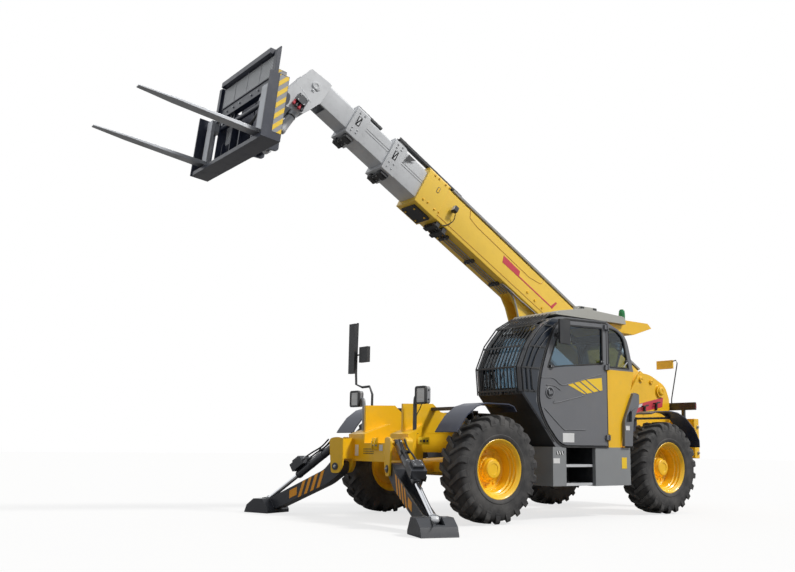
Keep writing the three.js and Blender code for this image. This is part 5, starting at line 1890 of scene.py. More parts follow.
@dataclass
class Carriage:
    """The fork carriage: mesh panels, warning stripes, posts, hooks and pins."""

    end_face: float = 0.868
    post_y: float = 0.620
    plate_thick: float = 0.0015
    band_pitch: float = 0.120
    band_wide: float = 0.060
    band_lean: float = 0.110
    post: tuple[float, float] = (-0.200, -0.052)

    def panels(self) -> None:
        """The expanded-metal panels of the backrest and of the lower bays."""
        shape = Shape()
        count = 4
        left = -0.600
        wide = 1.200 / count
        for i in range(count):
            y0 = left + i * wide + 0.008
            shape.block((-0.0495, -0.0445), (y0, y0 + wide - 0.016), (0.728, 0.962), 0)
        ribs = Shape()
        for i in range(1, count):
            y = left + i * wide
            ribs.block((-0.0495, -0.0395), (y - 0.006, y + 0.006), (0.716, 0.972), 0)
        ribs.block((-0.0495, -0.040), (-0.60, 0.60), (0.714, 0.726), 1)
        ribs.block((-0.0495, -0.040), (-0.60, 0.60), (0.964, 0.974), 1)
        low = Shape()
        for y0, y1 in ((0.30, 0.59), (-0.59, -0.38)):
            low.block((-0.150, -0.144), (y0, y1), (0.300, 0.594), 0)
        piece("backrest_mesh", shape, [Finishes.GRILLE], "carriage", CARRIAGE)
        piece("backrest_ribs", ribs, [Finishes.PALE, Finishes.NAVY], "carriage", CARRIAGE)
        piece("lower_bay_mesh", low, [Finishes.GRILLE], "carriage", CARRIAGE)

    def striped(
        self, shape: Shape, along: tuple[float, float], up: tuple[float, float], face: float, side: int
    ) -> None:
        """Adds a grey plate with leaning yellow bands.

        Args:
            shape: The piece.
            along: Its bounds fore and aft.
            up: Its bounds in height.
            face: The wall that it lies on.
            side: 1 where it faces left and -1 where it faces right.
        """
        wall = side * (face + HAIR)
        thin = sorted((wall, wall + side * self.plate_thick))
        thick = sorted((wall + side * MARK_TOP, wall + side * OVER_TOP))
        shape.plate(span_oblong(along, up), Axis.Y, thin[0], thin[1], 1)
        start = up[0] - self.band_lean
        while start < up[1]:
            high = start + self.band_wide
            corners = [
                (along[0], start + self.band_lean), (along[1], start), (along[1], high),
                (along[0], high + self.band_lean)
            ]
            clipped = clip_between(corners, *up)
            if len(clipped) > 2:
                shape.plate(clipped, Axis.Y, thick[0], thick[1], 0)
            start += self.band_pitch

    def stripes(self) -> None:
        """The warning bands on the uprights, in two parts round a pin hole, and on the left end plate."""
        shape = Shape()
        along = (self.post[0] + 0.004, self.post[1] - 0.004)
        for side in (1, -1):
            for up in ((0.070, 0.400), (0.490, 0.812)):
                self.striped(shape, along, up, self.post_y, side)
        self.striped(shape, (-0.114, -0.010), (0.000, 0.632), self.end_face, 1)
        piece("carriage_warning_stripes", shape, [Finishes.MARK, Finishes.MID_GREY], "carriage", CARRIAGE)

    def fittings(self) -> None:
        """The pins, posts, hooks and locking bars between the beams."""
        shape = Shape()
        for s in (1, -1):
            face = s * self.post_y
            turn = outwards((-0.126, face, 0.445), s)
            shape.turned(
                [(0.016, HAIR), (0.036, HAIR), (0.036, 0.012), (0.028, 0.016), (0.016, 0.016)], 32, 0, turn,
                closed=True
            )
            shape.block((-0.17, -0.08), tuple(sorted((s * 0.30, s * 0.32))), (0.061, 0.599), 1)
            shape.plate(
                rounded(
                    [
                        (-0.11, 0.061), (-0.052, 0.061), (-0.052, 0.24, 0.02), (-0.075, 0.28, 0.02),
                        (-0.11, 0.20, 0.02)
                    ]
                ),
                Axis.Y, *sorted((s * 0.44, s * 0.455)), 1
            )
            for y in (0.400, 0.520):
                hook = [
                    (-0.085, s * y, 0.601), (-0.060, s * y, 0.555), (-0.044, s * y, 0.530),
                    (-0.040, s * y, 0.490)
                ]
                shape.tube(hook, 0.008, 10, 0, smooth=4)
            shape.bolts([(-0.0485, s * y, 0.656) for y in (0.14, 0.30, 0.46)], (1, 0, 0), 0.014, 0)
        shape.tube(
            [(-0.10, -0.25, 0.50), (-0.09, -0.10, 0.34), (-0.10, 0.08, 0.30), (-0.11, 0.24, 0.42)], 0.011,
            10, 2, smooth=6
        )
        shape.tube(
            [(-0.10, -0.20, 0.52), (-0.08, -0.06, 0.38), (-0.09, 0.12, 0.34), (-0.12, 0.27, 0.46)], 0.009,
            10, 2, smooth=6
        )
        piece(
            "carriage_fittings", shape, [Finishes.STEEL, Finishes.NAVY, Finishes.RUBBER], "carriage",
            CARRIAGE, bevel=0.002
        )

    def build(self) -> None:
        """Dresses the carriage and forks and builds what is on them."""
        dress_node("fork_carriage", Finishes.NAVY)
        for node in ("fork_left", "fork_right"):
            dress_node(node, Finishes.FORK, EdgeBreaker(0.005))
        self.panels()
        self.stripes()
        self.fittings()


def clip_between(
    corners: Sequence[tuple[float, float]], low: float, high: float
) -> list[tuple[float, float]]:
    """Cuts a convex outline to a band of its second coordinate.

    Args:
        corners: The outline.
        low: The lower bound.
        high: The upper bound.

    Returns:
        What is left of the outline, or nothing.
    """
    points = list(corners)
    for bound, keep_above in ((low, True), (high, False)):
        kept: list[tuple[float, float]] = []
        for i, (a, b) in enumerate(points):
            pa, pb = points[i - 1]
            inside = b >= bound if keep_above else b <= bound
            was = pb >= bound if keep_above else pb <= bound
            if inside != was:
                share = (bound - pb) / (b - pb)
                kept.append((pa + (a - pa) * share, bound))
            if inside:
                kept.append((a, b))
        points = kept
        if not points:
            return []
    return points


# ---------------------------------------------------------------- stabilisers


@dataclass
class Stabiliser:
    """One stabiliser leg: painted bands, pins, foot rod, its ram and the valve on it."""

    side: Side
    toe_out: float = 18.0
    pin_out: float = 0.540
    front: float = 0.0
    back: float = -0.150

    def frame(self) -> Matrix:
        """The leg's frame: X forward, Y outward along the leg, Z up, from its pin."""
        s = self.side.value
        turned = swung(4.14, s * self.pin_out, 0.60, -s * self.toe_out)
        return turned @ Matrix.Diagonal((1, s, 1, 1))

    def spot(self, x: float, out: float, z: float) -> Vector:
        """A leg point in the row frame."""
        return self.frame() @ Vector((x, out, z))

    @staticmethod
    def top_edge(out: float) -> float:
        """Height of the leg's upper edge."""
        return -0.045 - (out - 0.200) * 0.4284

    @staticmethod
    def low_edge(out: float) -> float:
        """Height of the leg's lower edge."""
        return -0.215 - (out - 0.150) * 0.40625

    def bands(self) -> Shape:
        """The orange bands and the blank plate on the leg's faces.

        Returns:
            The bands' shape.
        """
        shape = Shape()
        margin, wide, lean, pitch = 0.006, 0.050, 0.070, 0.098
        for low, high in ((self.front + HAIR, self.front + 0.0018), (self.back - 0.0018, self.back - HAIR)):
            for i in range(4):
                u = 0.190 + pitch * i
                top = [(u, self.top_edge(u) - margin), (u + wide, self.top_edge(u + wide) - margin)]
                v = u + lean
                base = [(v + wide, self.low_edge(v + wide) + margin), (v, self.low_edge(v) + margin)]
                shape.plate([*top, *base], Axis.X, low, high, 0)
            label = []
            for u, share in ((0.625, 0.20), (0.745, 0.20), (0.745, 0.74), (0.625, 0.74)):
                label.append((u, self.top_edge(u) * (1 - share) + self.low_edge(u) * share))
            shape.plate(label, Axis.X, low, high, 1)
        return shape

    def fittings(self) -> Shape:
        """Pins, keepers and the foot's cross rods.

        Returns:
            The fittings' shape.
        """
        shape = Shape()
        for x0, x1, out, z, r in ((0.031, 0.040, 0.0, 0.0, 0.044), (HAIR, 0.010, 1.182, -0.450, 0.034)):
            shape.plate(circle(out, z, r, 32), Axis.X, x0, x1, 0)
            shape.bolt((x1, out, z), (1, 0, 0), r * 0.42, 1)
        shape.plate(circle(1.182, -0.450, 0.034, 32), Axis.X, self.back - 0.010, self.back - HAIR, 0)
        shape.plate(circle(0.0, 0.0, 0.044, 32), Axis.X, self.back - 0.088, self.back - 0.080, 0)
        shape.rod((self.back + 0.0135, 1.182, -0.450), (self.back + 0.03, 1.182, -0.450), 0.036, 24, 0)
        shape.rod((-0.0135, 1.182, -0.450), (-0.03, 1.182, -0.450), 0.036, 24, 0)
        return shape

    def valve(self) -> Shape:
        """The lock valve on the ram's barrel, with its bolts, ports and lines, along the ram's X.

        Returns:
            The valve's shape.
        """
        shape = Shape()
        low, high = 0.050, 0.150
        shape.block((0.560, 0.760), (-0.085, 0.085), (low, high), 0)
        shape.block((0.600, 0.720), (-0.060, 0.060), (high, high + 0.030), 0)
        shape.bolts(
            [(x, y, high + 0.030) for x in (0.625, 0.695) for y in (-0.035, 0.035)], (0, 0, 1), 0.013, 1
        )
        for y in (-0.050, 0.050):
            shape.rod((0.500, y, 0.105), (0.561, y, 0.105), 0.016, 16, 1)
            shape.tube(
                [(0.500, y, 0.105), (0.40, y * 0.9, 0.100), (0.24, y * 0.7, 0.085), (0.10, y * 0.6, 0.105)],
                0.010, 10, 2, smooth=6
            )
        shape.block((0.250, 0.290), (-0.050, 0.050), (0.049, 0.070), 2)
        return shape

    def build(self) -> None:
        """Dresses the leg and builds the pieces on it."""
        name = self.side.name.lower()
        leg = f"stabiliser_leg_{name}"
        dress_node(leg, Finishes.DARK)
        piece(f"stabiliser_bands_{name}", self.bands(), [Finishes.STRIPE, Finishes.STRIPE], leg, self.frame())
        piece(
            f"stabiliser_pins_{name}", self.fittings(), [Finishes.DARK, Finishes.STEEL], leg, self.frame(),
            bevel=0.0015
        )
        base, eye = self.spot(-0.075, 0.035, 0.285), self.spot(-0.075, 1.182, -0.450)
        ram = Ram(
            label=f"stabiliser_ram_{name}",
            start=base,
            end=eye,
            barrel_end=0.760,
            barrel_radius=0.048,
            rod_radius=0.028,
            rod_start=0.45,
            eye_radius=0.038,
            eye_half=0.041,
            barrel_node=f"stabiliser_ram_{name}_barrel",
            rod_node=f"stabiliser_ram_{name}_rod",
            barrel_finish=Finishes.DARK,
            eye_finish=Finishes.PALE,
        )
        ram.build()
        body = frame_body(f"stabiliser_ram_{name}_barrel")
        piece(
            f"stabiliser_valve_{name}", self.valve(), [Finishes.DARK, Finishes.STEEL, Finishes.RUBBER],
            body, ram.frame()[0], 0.002
        )


def frame_body(node: str) -> str:
    """The body that a CAD node belongs to."""
    return str(frame["nodes"][node]["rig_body"])


# ---------------------------------------------------------------- cab


@dataclass
class Cab:
    """The operator's cab: glass, rubber seals, door marks, guard, interior and steps."""

    right: float = 0.3903
    left: float = 1.150
    door_face: float = 1.168
    wall: float = 0.040
    profile: tuple[Corner, ...] = (
        (0.960, 0.862), (2.150, 0.862), (2.420, 1.170), (2.700, 1.470), (2.730, 1.780), (2.600, 2.060, 0.100),
        (2.400, 2.290, 0.120), (2.130, 2.440, 0.120), (1.200, 2.462), (0.800, 2.320, 0.150), (0.660, 1.830),
    )
    door: tuple[Corner, ...] = (
        (1.226, 0.884), (
            2.070, 0.884, 0.120
        ), (2.330, 1.160, 0.160), (2.440, 1.400, 0.120), (2.400, 1.720, 0.160),
        (2.270, 2.060, 0.100), (2.130, 2.330, 0.100), (1.980, 2.398, 0.060), (1.226, 2.420),
    )
    door_window: tuple[Corner, ...] = (
        (1.286, 1.900), (1.960, 1.830, 0.060), (2.310, 1.790, 0.040), (2.160, 2.120, 0.080),
        (2.010, 2.350, 0.060), (1.286, 2.370, 0.040),
    )
    quarter: tuple[Corner, ...] = (
        (0.745, 1.870), (1.166, 1.870), (1.166, 2.390), (1.000, 2.375, 0.060), (0.855, 2.290, 0.080)
    )
    right_window: tuple[Corner, ...] = (
        (0.820, 1.500), (2.440, 1.500), (2.460, 1.850), (
            2.260, 2.240, 0.080
        ), (1.100, 2.330), (0.880, 2.230, 0.080),
    )
    pane_side: tuple[float, float] = (0.450, 1.090)

    def pane(self, name: str, outline: Sequence[Corner], wall: float, inwards: float, body: str) -> None:
        """A side window's glass in its rubber seal.

        Args:
            name: The window's name.
            outline: The opening.
            wall: The Y of the outer face.
            inwards: 1 or -1, the way into the cab along Y.
            body: The body that it rides on.
        """
        opening = rounded(outline)
        glass, seal = Shape(), Shape()
        depth = sorted((wall + inwards * 0.014, wall + inwards * 0.019))
        glass.plate(inset(opening, 0.0008), Axis.Y, depth[0], depth[1])
        seal_low, seal_high = sorted((wall + inwards * 0.0135, wall - inwards * 0.004))
        seal.plate(inset(opening, 0.0008), Axis.Y, seal_low, seal_high, holes=[inset(opening, 0.020)])
        piece(f"{name}_glass", glass, [Finishes.CAB_GLASS], body)
        piece(f"{name}_seal", seal, [Finishes.RUBBER], body, MACHINE, 0.002)

    def skin(self, low: float, high: float, front: bool, out: float) -> list[tuple[float, float]]:
        """The cab's outer line between two heights, moved outwards.

        Args:
            low: The lower height.
            high: The upper height.
            front: True for the front of the cab and False for its rear.
            out: How far out.

        Returns:
            The points from low to high.
        """
        line = inset(rounded(self.profile), -out)
        middle_x = 1.65
        run = [p for p in line if (p[0] > middle_x) == front]
        if not front:
            run = run[::-1]
        points = []
        for (xa, za), (xb, zb) in zip(run, run[1:]):
            if za < low <= zb or zb < low <= za:
                points.append((xa + (xb - xa) * (low - za) / (zb - za), low))
            if low < zb < high and zb > za:
                points.append((xb, zb))
            if za < high <= zb:
                points.append((xa + (xb - xa) * (high - za) / (zb - za), high))
        return points

    def sheet_along(
        self, shape: Shape, inner: Sequence[tuple[float, float]], outer: Sequence[tuple[float, float]],
        y: tuple[float, float], finish: int = 0
    ) -> None:
        """Adds a bent sheet between two lines of the profile.

        Args:
            shape: The piece.
            inner: The line of its inner face.
            outer: The line of its outer face.
            y: Its range across the machine.
            finish: Its finish's number.
        """
        shape.plate([*inner, *reversed(outer)], Axis.Y, y[0], y[1], finish)

    def glass(self) -> None:
        """All the glass of the cab."""
        self.pane("door_window", self.door_window, self.door_face, -1, "cab_door")
        self.pane("quarter_window", self.quarter, self.left, -1, "chassis")
        self.pane("right_window", self.right_window, self.right, 1, "chassis")
        for name, low, high, front in (
            ("windscreen", 1.522, 2.388, True), ("rear_window", 1.502, 2.248, False)
        ):
            pane, seal = Shape(), Shape()
            self.sheet_along(
                pane, self.skin(low, high, front, -0.018), self.skin(low, high, front, -0.012),
                (self.pane_side[0] + 0.001, self.pane_side[1] - 0.001)
            )
            for y in (
                (self.pane_side[0] + 0.001, self.pane_side[0] + 0.022),
                (self.pane_side[1] - 0.022, self.pane_side[1] - 0.001)
            ):
                self.sheet_along(
                    seal, self.skin(low, high, front, -0.0115), self.skin(low, high, front, 0.004), y
                )
            for edge in ((low, low + 0.022), (high - 0.022, high)):
                self.sheet_along(
                    seal, self.skin(*edge, front, -0.0115), self.skin(*edge, front, 0.004),
                    (self.pane_side[0] + 0.001, self.pane_side[1] - 0.001)
                )
            piece(f"{name}_glass", pane, [Finishes.SCREEN_GLASS if front else Finishes.CAB_GLASS], "chassis")
            piece(f"{name}_seal", seal, [Finishes.RUBBER], "chassis", MACHINE, 0.002)

    def front_panel(self) -> None:
        """The black panel that covers the front of the cab under the windscreen, and the pillar's rubber."""
        shape = Shape()
        low = self.skin(0.866, 1.500, True, 0.001)
        high = self.skin(0.866, 1.500, True, 0.006)
        self.sheet_along(shape, low, high, (self.right + 0.004, self.left - 0.004))
        for z in (1.30, 1.46):
            self.sheet_along(
                shape, self.skin(z, z + 0.016, True, 0.006), self.skin(z, z + 0.016, True, 0.012),
                (self.right + 0.02, self.left - 0.02)
            )
        piece("cab_front_panel", shape, [Finishes.BLACK], "chassis", MACHINE, 0.002)
        self.corner_panel()
        seal = Shape()
        outer = inset(rounded(self.door), -0.030)
        inner = inset(rounded(self.door), -0.008)
        seal.plate(outer, Axis.Y, self.left + HAIR, self.left + 0.008, holes=[inner])
        pillar = self.skin(0.92, 2.36, True, -0.010)
        edge = self.skin(0.92, 2.36, True, -0.024)
        seal.plate([*edge, *reversed(pillar)], Axis.Y, self.left + HAIR, self.left + 0.006)
        piece("door_opening_seal", seal, [Finishes.RUBBER], "chassis", MACHINE, 0.002)

    def corner_panel(self) -> None:
        """The dark corner between the door and the windscreen, with the guard's bars carried round it."""
        front = [
            (1.07, 2.310), (1.16, 2.372), (1.40, 2.480), (1.72, 2.440), (2.06, 2.308), (2.33, 2.168),
            (2.40, 2.060)
        ]
        door = [(x, z) for z, x in front]
        low, high = door[0][1], door[-1][1]
        panel = Shape()
        face = self.left + HAIR
        panel.plate([*door, *reversed(self.skin(low, high, True, -0.004))], Axis.Y, face, face + 0.003, 0)
        piece("cab_corner_panel", panel, [Finishes.TINT], "chassis")
        bars = Shape()
        for inwards in (0.012, 0.085, 0.158):
            line = self.skin(1.500, 2.330, True, -inwards)
            kept = [(x, z) for x, z in line if x > self.door_front(z, front) + 0.012]
            if len(kept) > 1:
                bars.tube([(x, face + 0.014, z) for x, z in kept], 0.0065, 8, 0)
        for z in (1.511, 1.781, 2.041, 2.311):
            outer = self.skin(z - 0.004, z + 0.004, True, 0.0)[0][0]
            bars.block(
                (self.door_front(z, front) + 0.004, outer - 0.002), (face + 0.003, face + 0.016),
                (z - 0.009, z + 0.009), 0
            )
        piece("cab_corner_bars", bars, [Finishes.BLACK], "chassis", MACHINE)

    @staticmethod
    def door_front(z: float, line: Sequence[tuple[float, float]]) -> float:
        """X of the door's front edge at a height, from its (z, x) points.

        Args:
            z: The height.
            line: The (z, x) points of the edge, from low to high.

        Returns:
            The X of the edge.
        """
        for (za, xa), (zb, xb) in zip(line, line[1:]):
            if za <= z <= zb:
                return xa + (xb - xa) * (z - za) / (zb - za)
        return line[-1][1]

    def door_marks(self) -> None:
        """The chevrons, pressed creases, blank plate and handle of the door."""
        face = self.door_face
        shape = Shape()
        block = [
            (1.309, 1.573), (1.645, 1.508), (1.965, 1.617), (1.805, 1.654), (1.624, 1.690), (1.321, 1.730)
        ]
        shape.plate(block, Axis.Y, face + HAIR, face + MARK_TOP, 0)
        for start, end in (
            ((1.600, 1.512), (1.870, 1.650)), ((1.480, 1.536), (1.760, 1.678)),
            ((1.360, 1.556), (1.640, 1.700))
        ):
            shape.plate(ribbon([start, end], 0.015), Axis.Y, face + OVER, face + OVER_TOP, 1)
        shape.plate(oblong(1.945, 0.973, 0.200, 0.110), Axis.Y, face + HAIR, face + MARK_TOP, 2)
        piece("door_chevrons", shape, [Finishes.MARK, Finishes.GREY, Finishes.WHITE], "cab_door")
        crease = Shape()
        lines = (
            [(2.397, 1.672), (2.199, 1.675), (2.060, 1.601), (1.885, 1.632), (1.303, 1.776)],
            [(2.322, 1.587), (2.185, 1.584), (2.077, 1.536)],
            [(2.172, 1.424), (2.172, 1.382), (1.662, 1.490)],
            [(2.356, 1.312), (2.038, 1.078), (1.960, 1.069), (1.640, 1.069)],
        )
        for line in lines:
            crease.tube([(a, face + 0.0015, b) for a, b in line], 0.0055, 8, 0, smooth=3)
        piece("door_creases", crease, [Finishes.GREY], "cab_door", MACHINE)
        handle = Shape()
        turn = outwards((2.263, face, 1.501), 1)
        handle.turned(
            [(0.052, HAIR), (0.072, HAIR), (0.072, 0.006), (0.066, 0.010), (0.056, 0.010), (0.052, 0.006)],
            40, 0, turn, closed=True
        )
        handle.turned(span_oblong((0.0, 0.051), (HAIR, 0.003)), 40, 1, turn)
        handle.plate(
            rounded(
                [(2.225, 1.490, 0.01), (2.290, 1.475, 0.01), (2.300, 1.512, 0.01), (2.235, 1.528, 0.01)]
            ),
            Axis.Y, face + 0.0035, face + 0.018, 0
        )
        handle.turned(
            span_oblong((0.0, 0.011), (0.003, 0.012)), 20, 2, turn @ Matrix.Translation((0.020, -0.028, 0))
        )
        piece("door_handle", handle, [Finishes.GREY, Finishes.BLACK, Finishes.STEEL], "cab_door", bevel=0.001)
        latch = Shape()
        for x, z in ((2.235, 1.815), (1.330, 1.930)):
            latch.block((x - 0.030, x + 0.030), (face + HAIR, face + 0.024), (z - 0.018, z + 0.018), 0)
            latch.bolts([(x - 0.015, face + 0.024, z), (x + 0.015, face + 0.024, z)], (0, 1, 0), 0.007, 1)
        piece("window_catches", latch, [Finishes.BLACK, Finishes.STEEL], "cab_door", bevel=0.002)

    def side_fittings(self) -> None:
        """The duct behind the door, plates, the lock of the quarter window, the windscreen wiper and the roof
        lamps' lenses.
        """
        duct = Shape()
        outline = rounded(
            [
                (0.768, 0.881), (0.927, 0.880), (0.915, 1.209, 0.03), (0.721, 1.577, 0.04),
                (0.612, 1.552, 0.03), (0.617, 1.413, 0.03), (0.735, 1.214, 0.04)
            ]
        )
        hole = rounded(
            [
                (0.775, 1.190, 0.01), (0.885, 1.190, 0.01), (0.862, 1.270, 0.01), (0.805, 1.330, 0.01),
                (0.770, 1.330, 0.01)
            ]
        )
        duct.plate(outline, Axis.Y, self.left + HAIR, self.left + 0.044, 0, [hole])
        duct.plate(inset(hole, -0.004), Axis.Y, self.left + HAIR, self.left + 0.012, 1)
        duct.plate(oblong(0.862, 1.111, 0.082, 0.060), Axis.Y, self.left + 0.0446, self.left + 0.046, 2)
        piece("cab_side_duct", duct, [Finishes.GREY, Finishes.BLACK, Finishes.WHITE], "chassis", bevel=0.003)
        plates = Shape()
        plates.plate(oblong(0.892, 0.669, 0.100, 0.140), Axis.Y, self.left + HAIR, self.left + 0.002, 0)
        plates.plate(oblong(2.139, 0.698, 0.110, 0.060), Axis.Y, self.left + HAIR, self.left + 0.002, 1)
        plates.plate(
            span_oblong((2.010, 2.140), (0.770, 0.812)), Axis.Y, self.left + HAIR, self.left + 0.002, 2
        )
        for i in range(3):
            x = 2.020 + 0.042 * i
            plates.plate(
                [(x, 0.770), (x + 0.018, 0.770), (x + 0.034, 0.812), (x + 0.016, 0.812)], Axis.Y,
                self.left + 0.0021, self.left + 0.003, 1
            )
        piece("step_plates", plates, [Finishes.MARK, Finishes.WHITE, Finishes.BLACK], "chassis")
        lock = Shape()
        lock.turned(
            [(0.0, 0.0), (0.030, 0.0), (0.030, 0.020), (0.022, 0.028), (0.0, 0.028)], 28, 0,
            outwards((0.800, self.left - 0.013, 1.960), 1)
        )
        lock.tube(
            [
                (0.800, self.left + 0.012, 1.960), (0.850, self.left + 0.020, 1.930),
                (0.880, self.left + 0.018, 1.890)
            ],
            0.007, 8, 1, smooth=3
        )
        piece("quarter_window_lock", lock, [Finishes.BLACK, Finishes.STEEL], "chassis")
        wiper = Shape()
        wiper.turned(
            [(0.0, -0.01), (0.032, -0.01), (0.032, 0.030), (0.0, 0.034)], 24, 0,
            Matrix.Translation((2.704, 0.800, 1.490)) @ Matrix.Rotation(math.pi / 2, 4, "Y")
        )
        wiper.tube(
            [(2.722, 0.800, 1.490), (2.752, 0.760, 1.600), (2.752, 0.700, 1.760), (2.728, 0.660, 1.860)],
            0.007, 8, 0, smooth=4
        )
        wiper.tube(
            [(2.722, 0.800, 1.490), (2.746, 0.830, 1.600), (2.746, 0.880, 1.740), (2.726, 0.900, 1.840)],
            0.006, 8, 0, smooth=4
        )
        piece("windscreen_wiper", wiper, [Finishes.BLACK], "chassis", MACHINE)
        lens = Shape()
        lens.plate(rounded_oblong((0.905, 0.985), (2.567, 2.643), 0.01), Axis.X, 1.5206, 1.530, 0)
        lens.plate(rounded_oblong((0.905, 0.985), (2.567, 2.643), 0.01), Axis.X, 1.176, 1.1894, 0)
        for x in (1.235, 1.475):
            lens.block((x - 0.03, x + 0.03), (1.0006, 1.012), (2.565, 2.645), 1)
        piece("roof_lamp_lenses", lens, [Finishes.LENS, Finishes.BLACK], "chassis", bevel=0.002)

    def cushion(
        self, name: str, corners: Sequence[Corner], y: tuple[float, float], crown: float, channels: int
    ) -> None:
        """One stuffed cushion of the seat.

        Args:
            name: The cushion's name.
            corners: Its side outline in X and Z.
            y: Its width.
            crown: How far the filling may swell it.
            channels: How many sewn channels cross it.
        """
        outline = inset(rounded(corners, 6), crown * 0.8)
        shape = Shape()
        shape.plate(outline, Axis.Y, y[0] + crown * 0.5, y[1] - crown * 0.5)
        made = placed(name, mesh_of(name, shape), MACHINE)
        remesh = made.modifiers.new("even", "REMESH")
        remesh.mode = "VOXEL"
        remesh.voxel_size = 0.009
        bpy.context.view_layer.update()
        mesh = bpy.data.meshes.new_from_object(made.evaluated_get(bpy.context.evaluated_depsgraph_get()))
        made.modifiers.clear()
        made.data = mesh
        rest = [v.co.copy() for v in mesh.vertices]
        cloth = made.modifiers.new("filling", "CLOTH")
        cloth.settings.use_pressure = True
        cloth.settings.uniform_pressure_force = 4
        cloth.settings.effector_weights.gravity = 0
        cloth.point_cache.frame_start = 1
        cloth.point_cache.frame_end = 20
        for step in range(1, 21):
            bpy.context.scene.frame_set(step)
        mesh = bpy.data.meshes.new_from_object(made.evaluated_get(bpy.context.evaluated_depsgraph_get()))
        made.modifiers.clear()
        made.data = mesh
        bpy.context.scene.frame_set(1)
        self.sew(made.data, rest, y, crown, channels)
        made.data.materials.clear()
        made.data.materials.append(Finishes.VINYL.material())
        made.data.polygons.foreach_set("use_smooth", [True] * len(made.data.polygons))
        made.modifiers.new("rounding", "SUBSURF").levels = 1
        made.modifiers["rounding"].render_levels = 1
        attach(made, "chassis")
        LOG.info("%s: %d faces", name, len(made.data.polygons))

    def sew(
        self, mesh: bpy.types.Mesh, rest: Sequence[Vector], y: tuple[float, float], crown: float,
        channels: int
    ) -> None:
        """Caps each point's travel and presses the sewn channels in.

        Args:
            mesh: The cushion's mesh.
            rest: Its points before it was filled.
            y: The cushion's width.
            crown: The farthest that a point may move.
            channels: How many channels are sewn.
        """
        seams = [y[0] + (y[1] - y[0]) * (i + 1) / (channels + 1) for i in range(channels)]
        normals = [v.normal.copy() for v in mesh.vertices]
        for vertex, start, normal in zip(mesh.vertices, rest, normals):
            travel = vertex.co - start
            if travel.length > crown:
                vertex.co = start + travel.normalized() * crown
            nearest = min(abs(vertex.co.y - s) for s in seams)
            if nearest < 0.030 and abs(normal.y) < 0.7:
                vertex.co -= normal * 0.008 * (1 - nearest / 0.030) ** 2
        mesh.update()

    def seat(self) -> None:
        """The operator's seat: cushions on their pans, arm rests, suspension box and belt."""
        self.cushion(
            "seat_cushion",
            [
                (1.180, 1.285, 0.03), (1.700, 1.285, 0.05), (1.700, 1.385, 0.05), (1.560, 1.398, 0.1),
                (1.180, 1.392, 0.03)
            ],
            (0.520, 1.020), 0.018, 2
        )
        self.cushion(
            "seat_back",
            [
                (1.160, 1.380, 0.04), (1.240, 1.400, 0.04), (1.205, 1.640, 0.1), (1.160, 1.955, 0.05),
                (1.050, 1.955, 0.04), (1.085, 1.600, 0.1)
            ],
            (0.530, 1.010), 0.018, 2
        )
        shape = Shape()
        shape.plate(
            rounded([(1.190, 1.262), (1.690, 1.262), (1.680, 1.282, 0.01), (1.200, 1.282, 0.01)]), Axis.Y,
            0.560, 0.980, 0
        )
        shape.block((1.250, 1.620), (0.590, 0.950), (0.902, 0.990), 0)
        for i in range(9):
            low = 0.990 + i * 0.030
            grow = 0.012 if i % 2 else 0.0
            shape.block((1.262 - grow, 1.608 + grow), (0.602 - grow, 0.938 + grow), (low, low + 0.030), 1)
        for y in (0.492, 1.048):
            shape.plate(
                rounded(
                    [
                        (1.200, 1.505, 0.02), (1.560, 1.505, 0.025), (1.560, 1.548, 0.025),
                        (1.200, 1.548, 0.02)
                    ]
                ),
                Axis.Y, y - 0.026, y + 0.026, 2
            )
            shape.tube(
                [(1.200, y, 1.515), (1.165, y, 1.50), (1.140, y + (0.02 if y < 0.7 else -0.02), 1.49)],
                0.014, 10, 0, smooth=3
            )
        shape.tube(
            [
                (1.20, 0.505, 1.29), (1.30, 0.55, 1.42), (1.45, 0.76, 1.43), (1.32, 0.98, 1.42),
                (1.22, 1.02, 1.29)
            ],
            0.010, 8, 1, smooth=6
        )
        piece(
            "seat_frame", shape, [Finishes.BLACK, Finishes.RUBBER, Finishes.VINYL], "chassis", MACHINE,
            0.003, ["operator_seat"]
        )

    def console(self) -> None:
        """The steering column, wheel, dashboard, levers and pedals."""
        shape = Shape()
        shape.plate(
            rounded(
                [
                    (2.010, 0.902), (2.070, 0.902), (2.400, 1.380, 0.03), (2.330, 1.460, 0.03),
                    (2.180, 1.430, 0.03), (2.100, 1.300, 0.05)
                ]
            ),
            Axis.Y, 0.640, 0.900, 0
        )
        shape.tube([(2.290, 0.770, 1.400), (2.200, 0.770, 1.483), (2.060, 0.770, 1.612)], 0.034, 20, 0)
        centre = Vector((2.030, 0.770, 1.640))
        axis = Vector((-0.735, 0, 0.678))
        turn = Matrix.Translation(centre) @ axis.to_track_quat("Z", "Y").to_matrix().to_4x4()
        ring = [
            (0.175 * math.cos(k * math.pi / 18), 0.175 * math.sin(k * math.pi / 18), 0.0) for k in range(36)
        ]
        shape.tube(ring, 0.0135, 12, 1, turn, closed=True)
        shape.turned(
            [(0.0, -0.040), (0.045, -0.040), (0.055, -0.010), (0.050, 0.012), (0.0, 0.018)], 28, 1, turn
        )
        for angle in (90, 210, 330):
            a = math.radians(angle)
            shape.tube(
                [
                    (0.04 * math.cos(a), 0.04 * math.sin(a), -0.010),
                    (0.11 * math.cos(a), 0.11 * math.sin(a), -0.016),
                    (0.172 * math.cos(a), 0.172 * math.sin(a), 0.0)
                ],
                0.010, 10, 1, turn, smooth=3
            )
        shape.tube([(2.12, 0.80, 1.56), (2.10, 0.90, 1.60), (2.09, 0.97, 1.61)], 0.008, 8, 1, smooth=3)
        shape.plate(
            rounded([(0.66, 1.395), (0.88, 1.395), (0.88, 1.455, 0.02), (0.66, 1.455, 0.02)]), Axis.X,
            2.190, 2.196, 2, at=Matrix.Translation((0, 0, 0.004))
        )
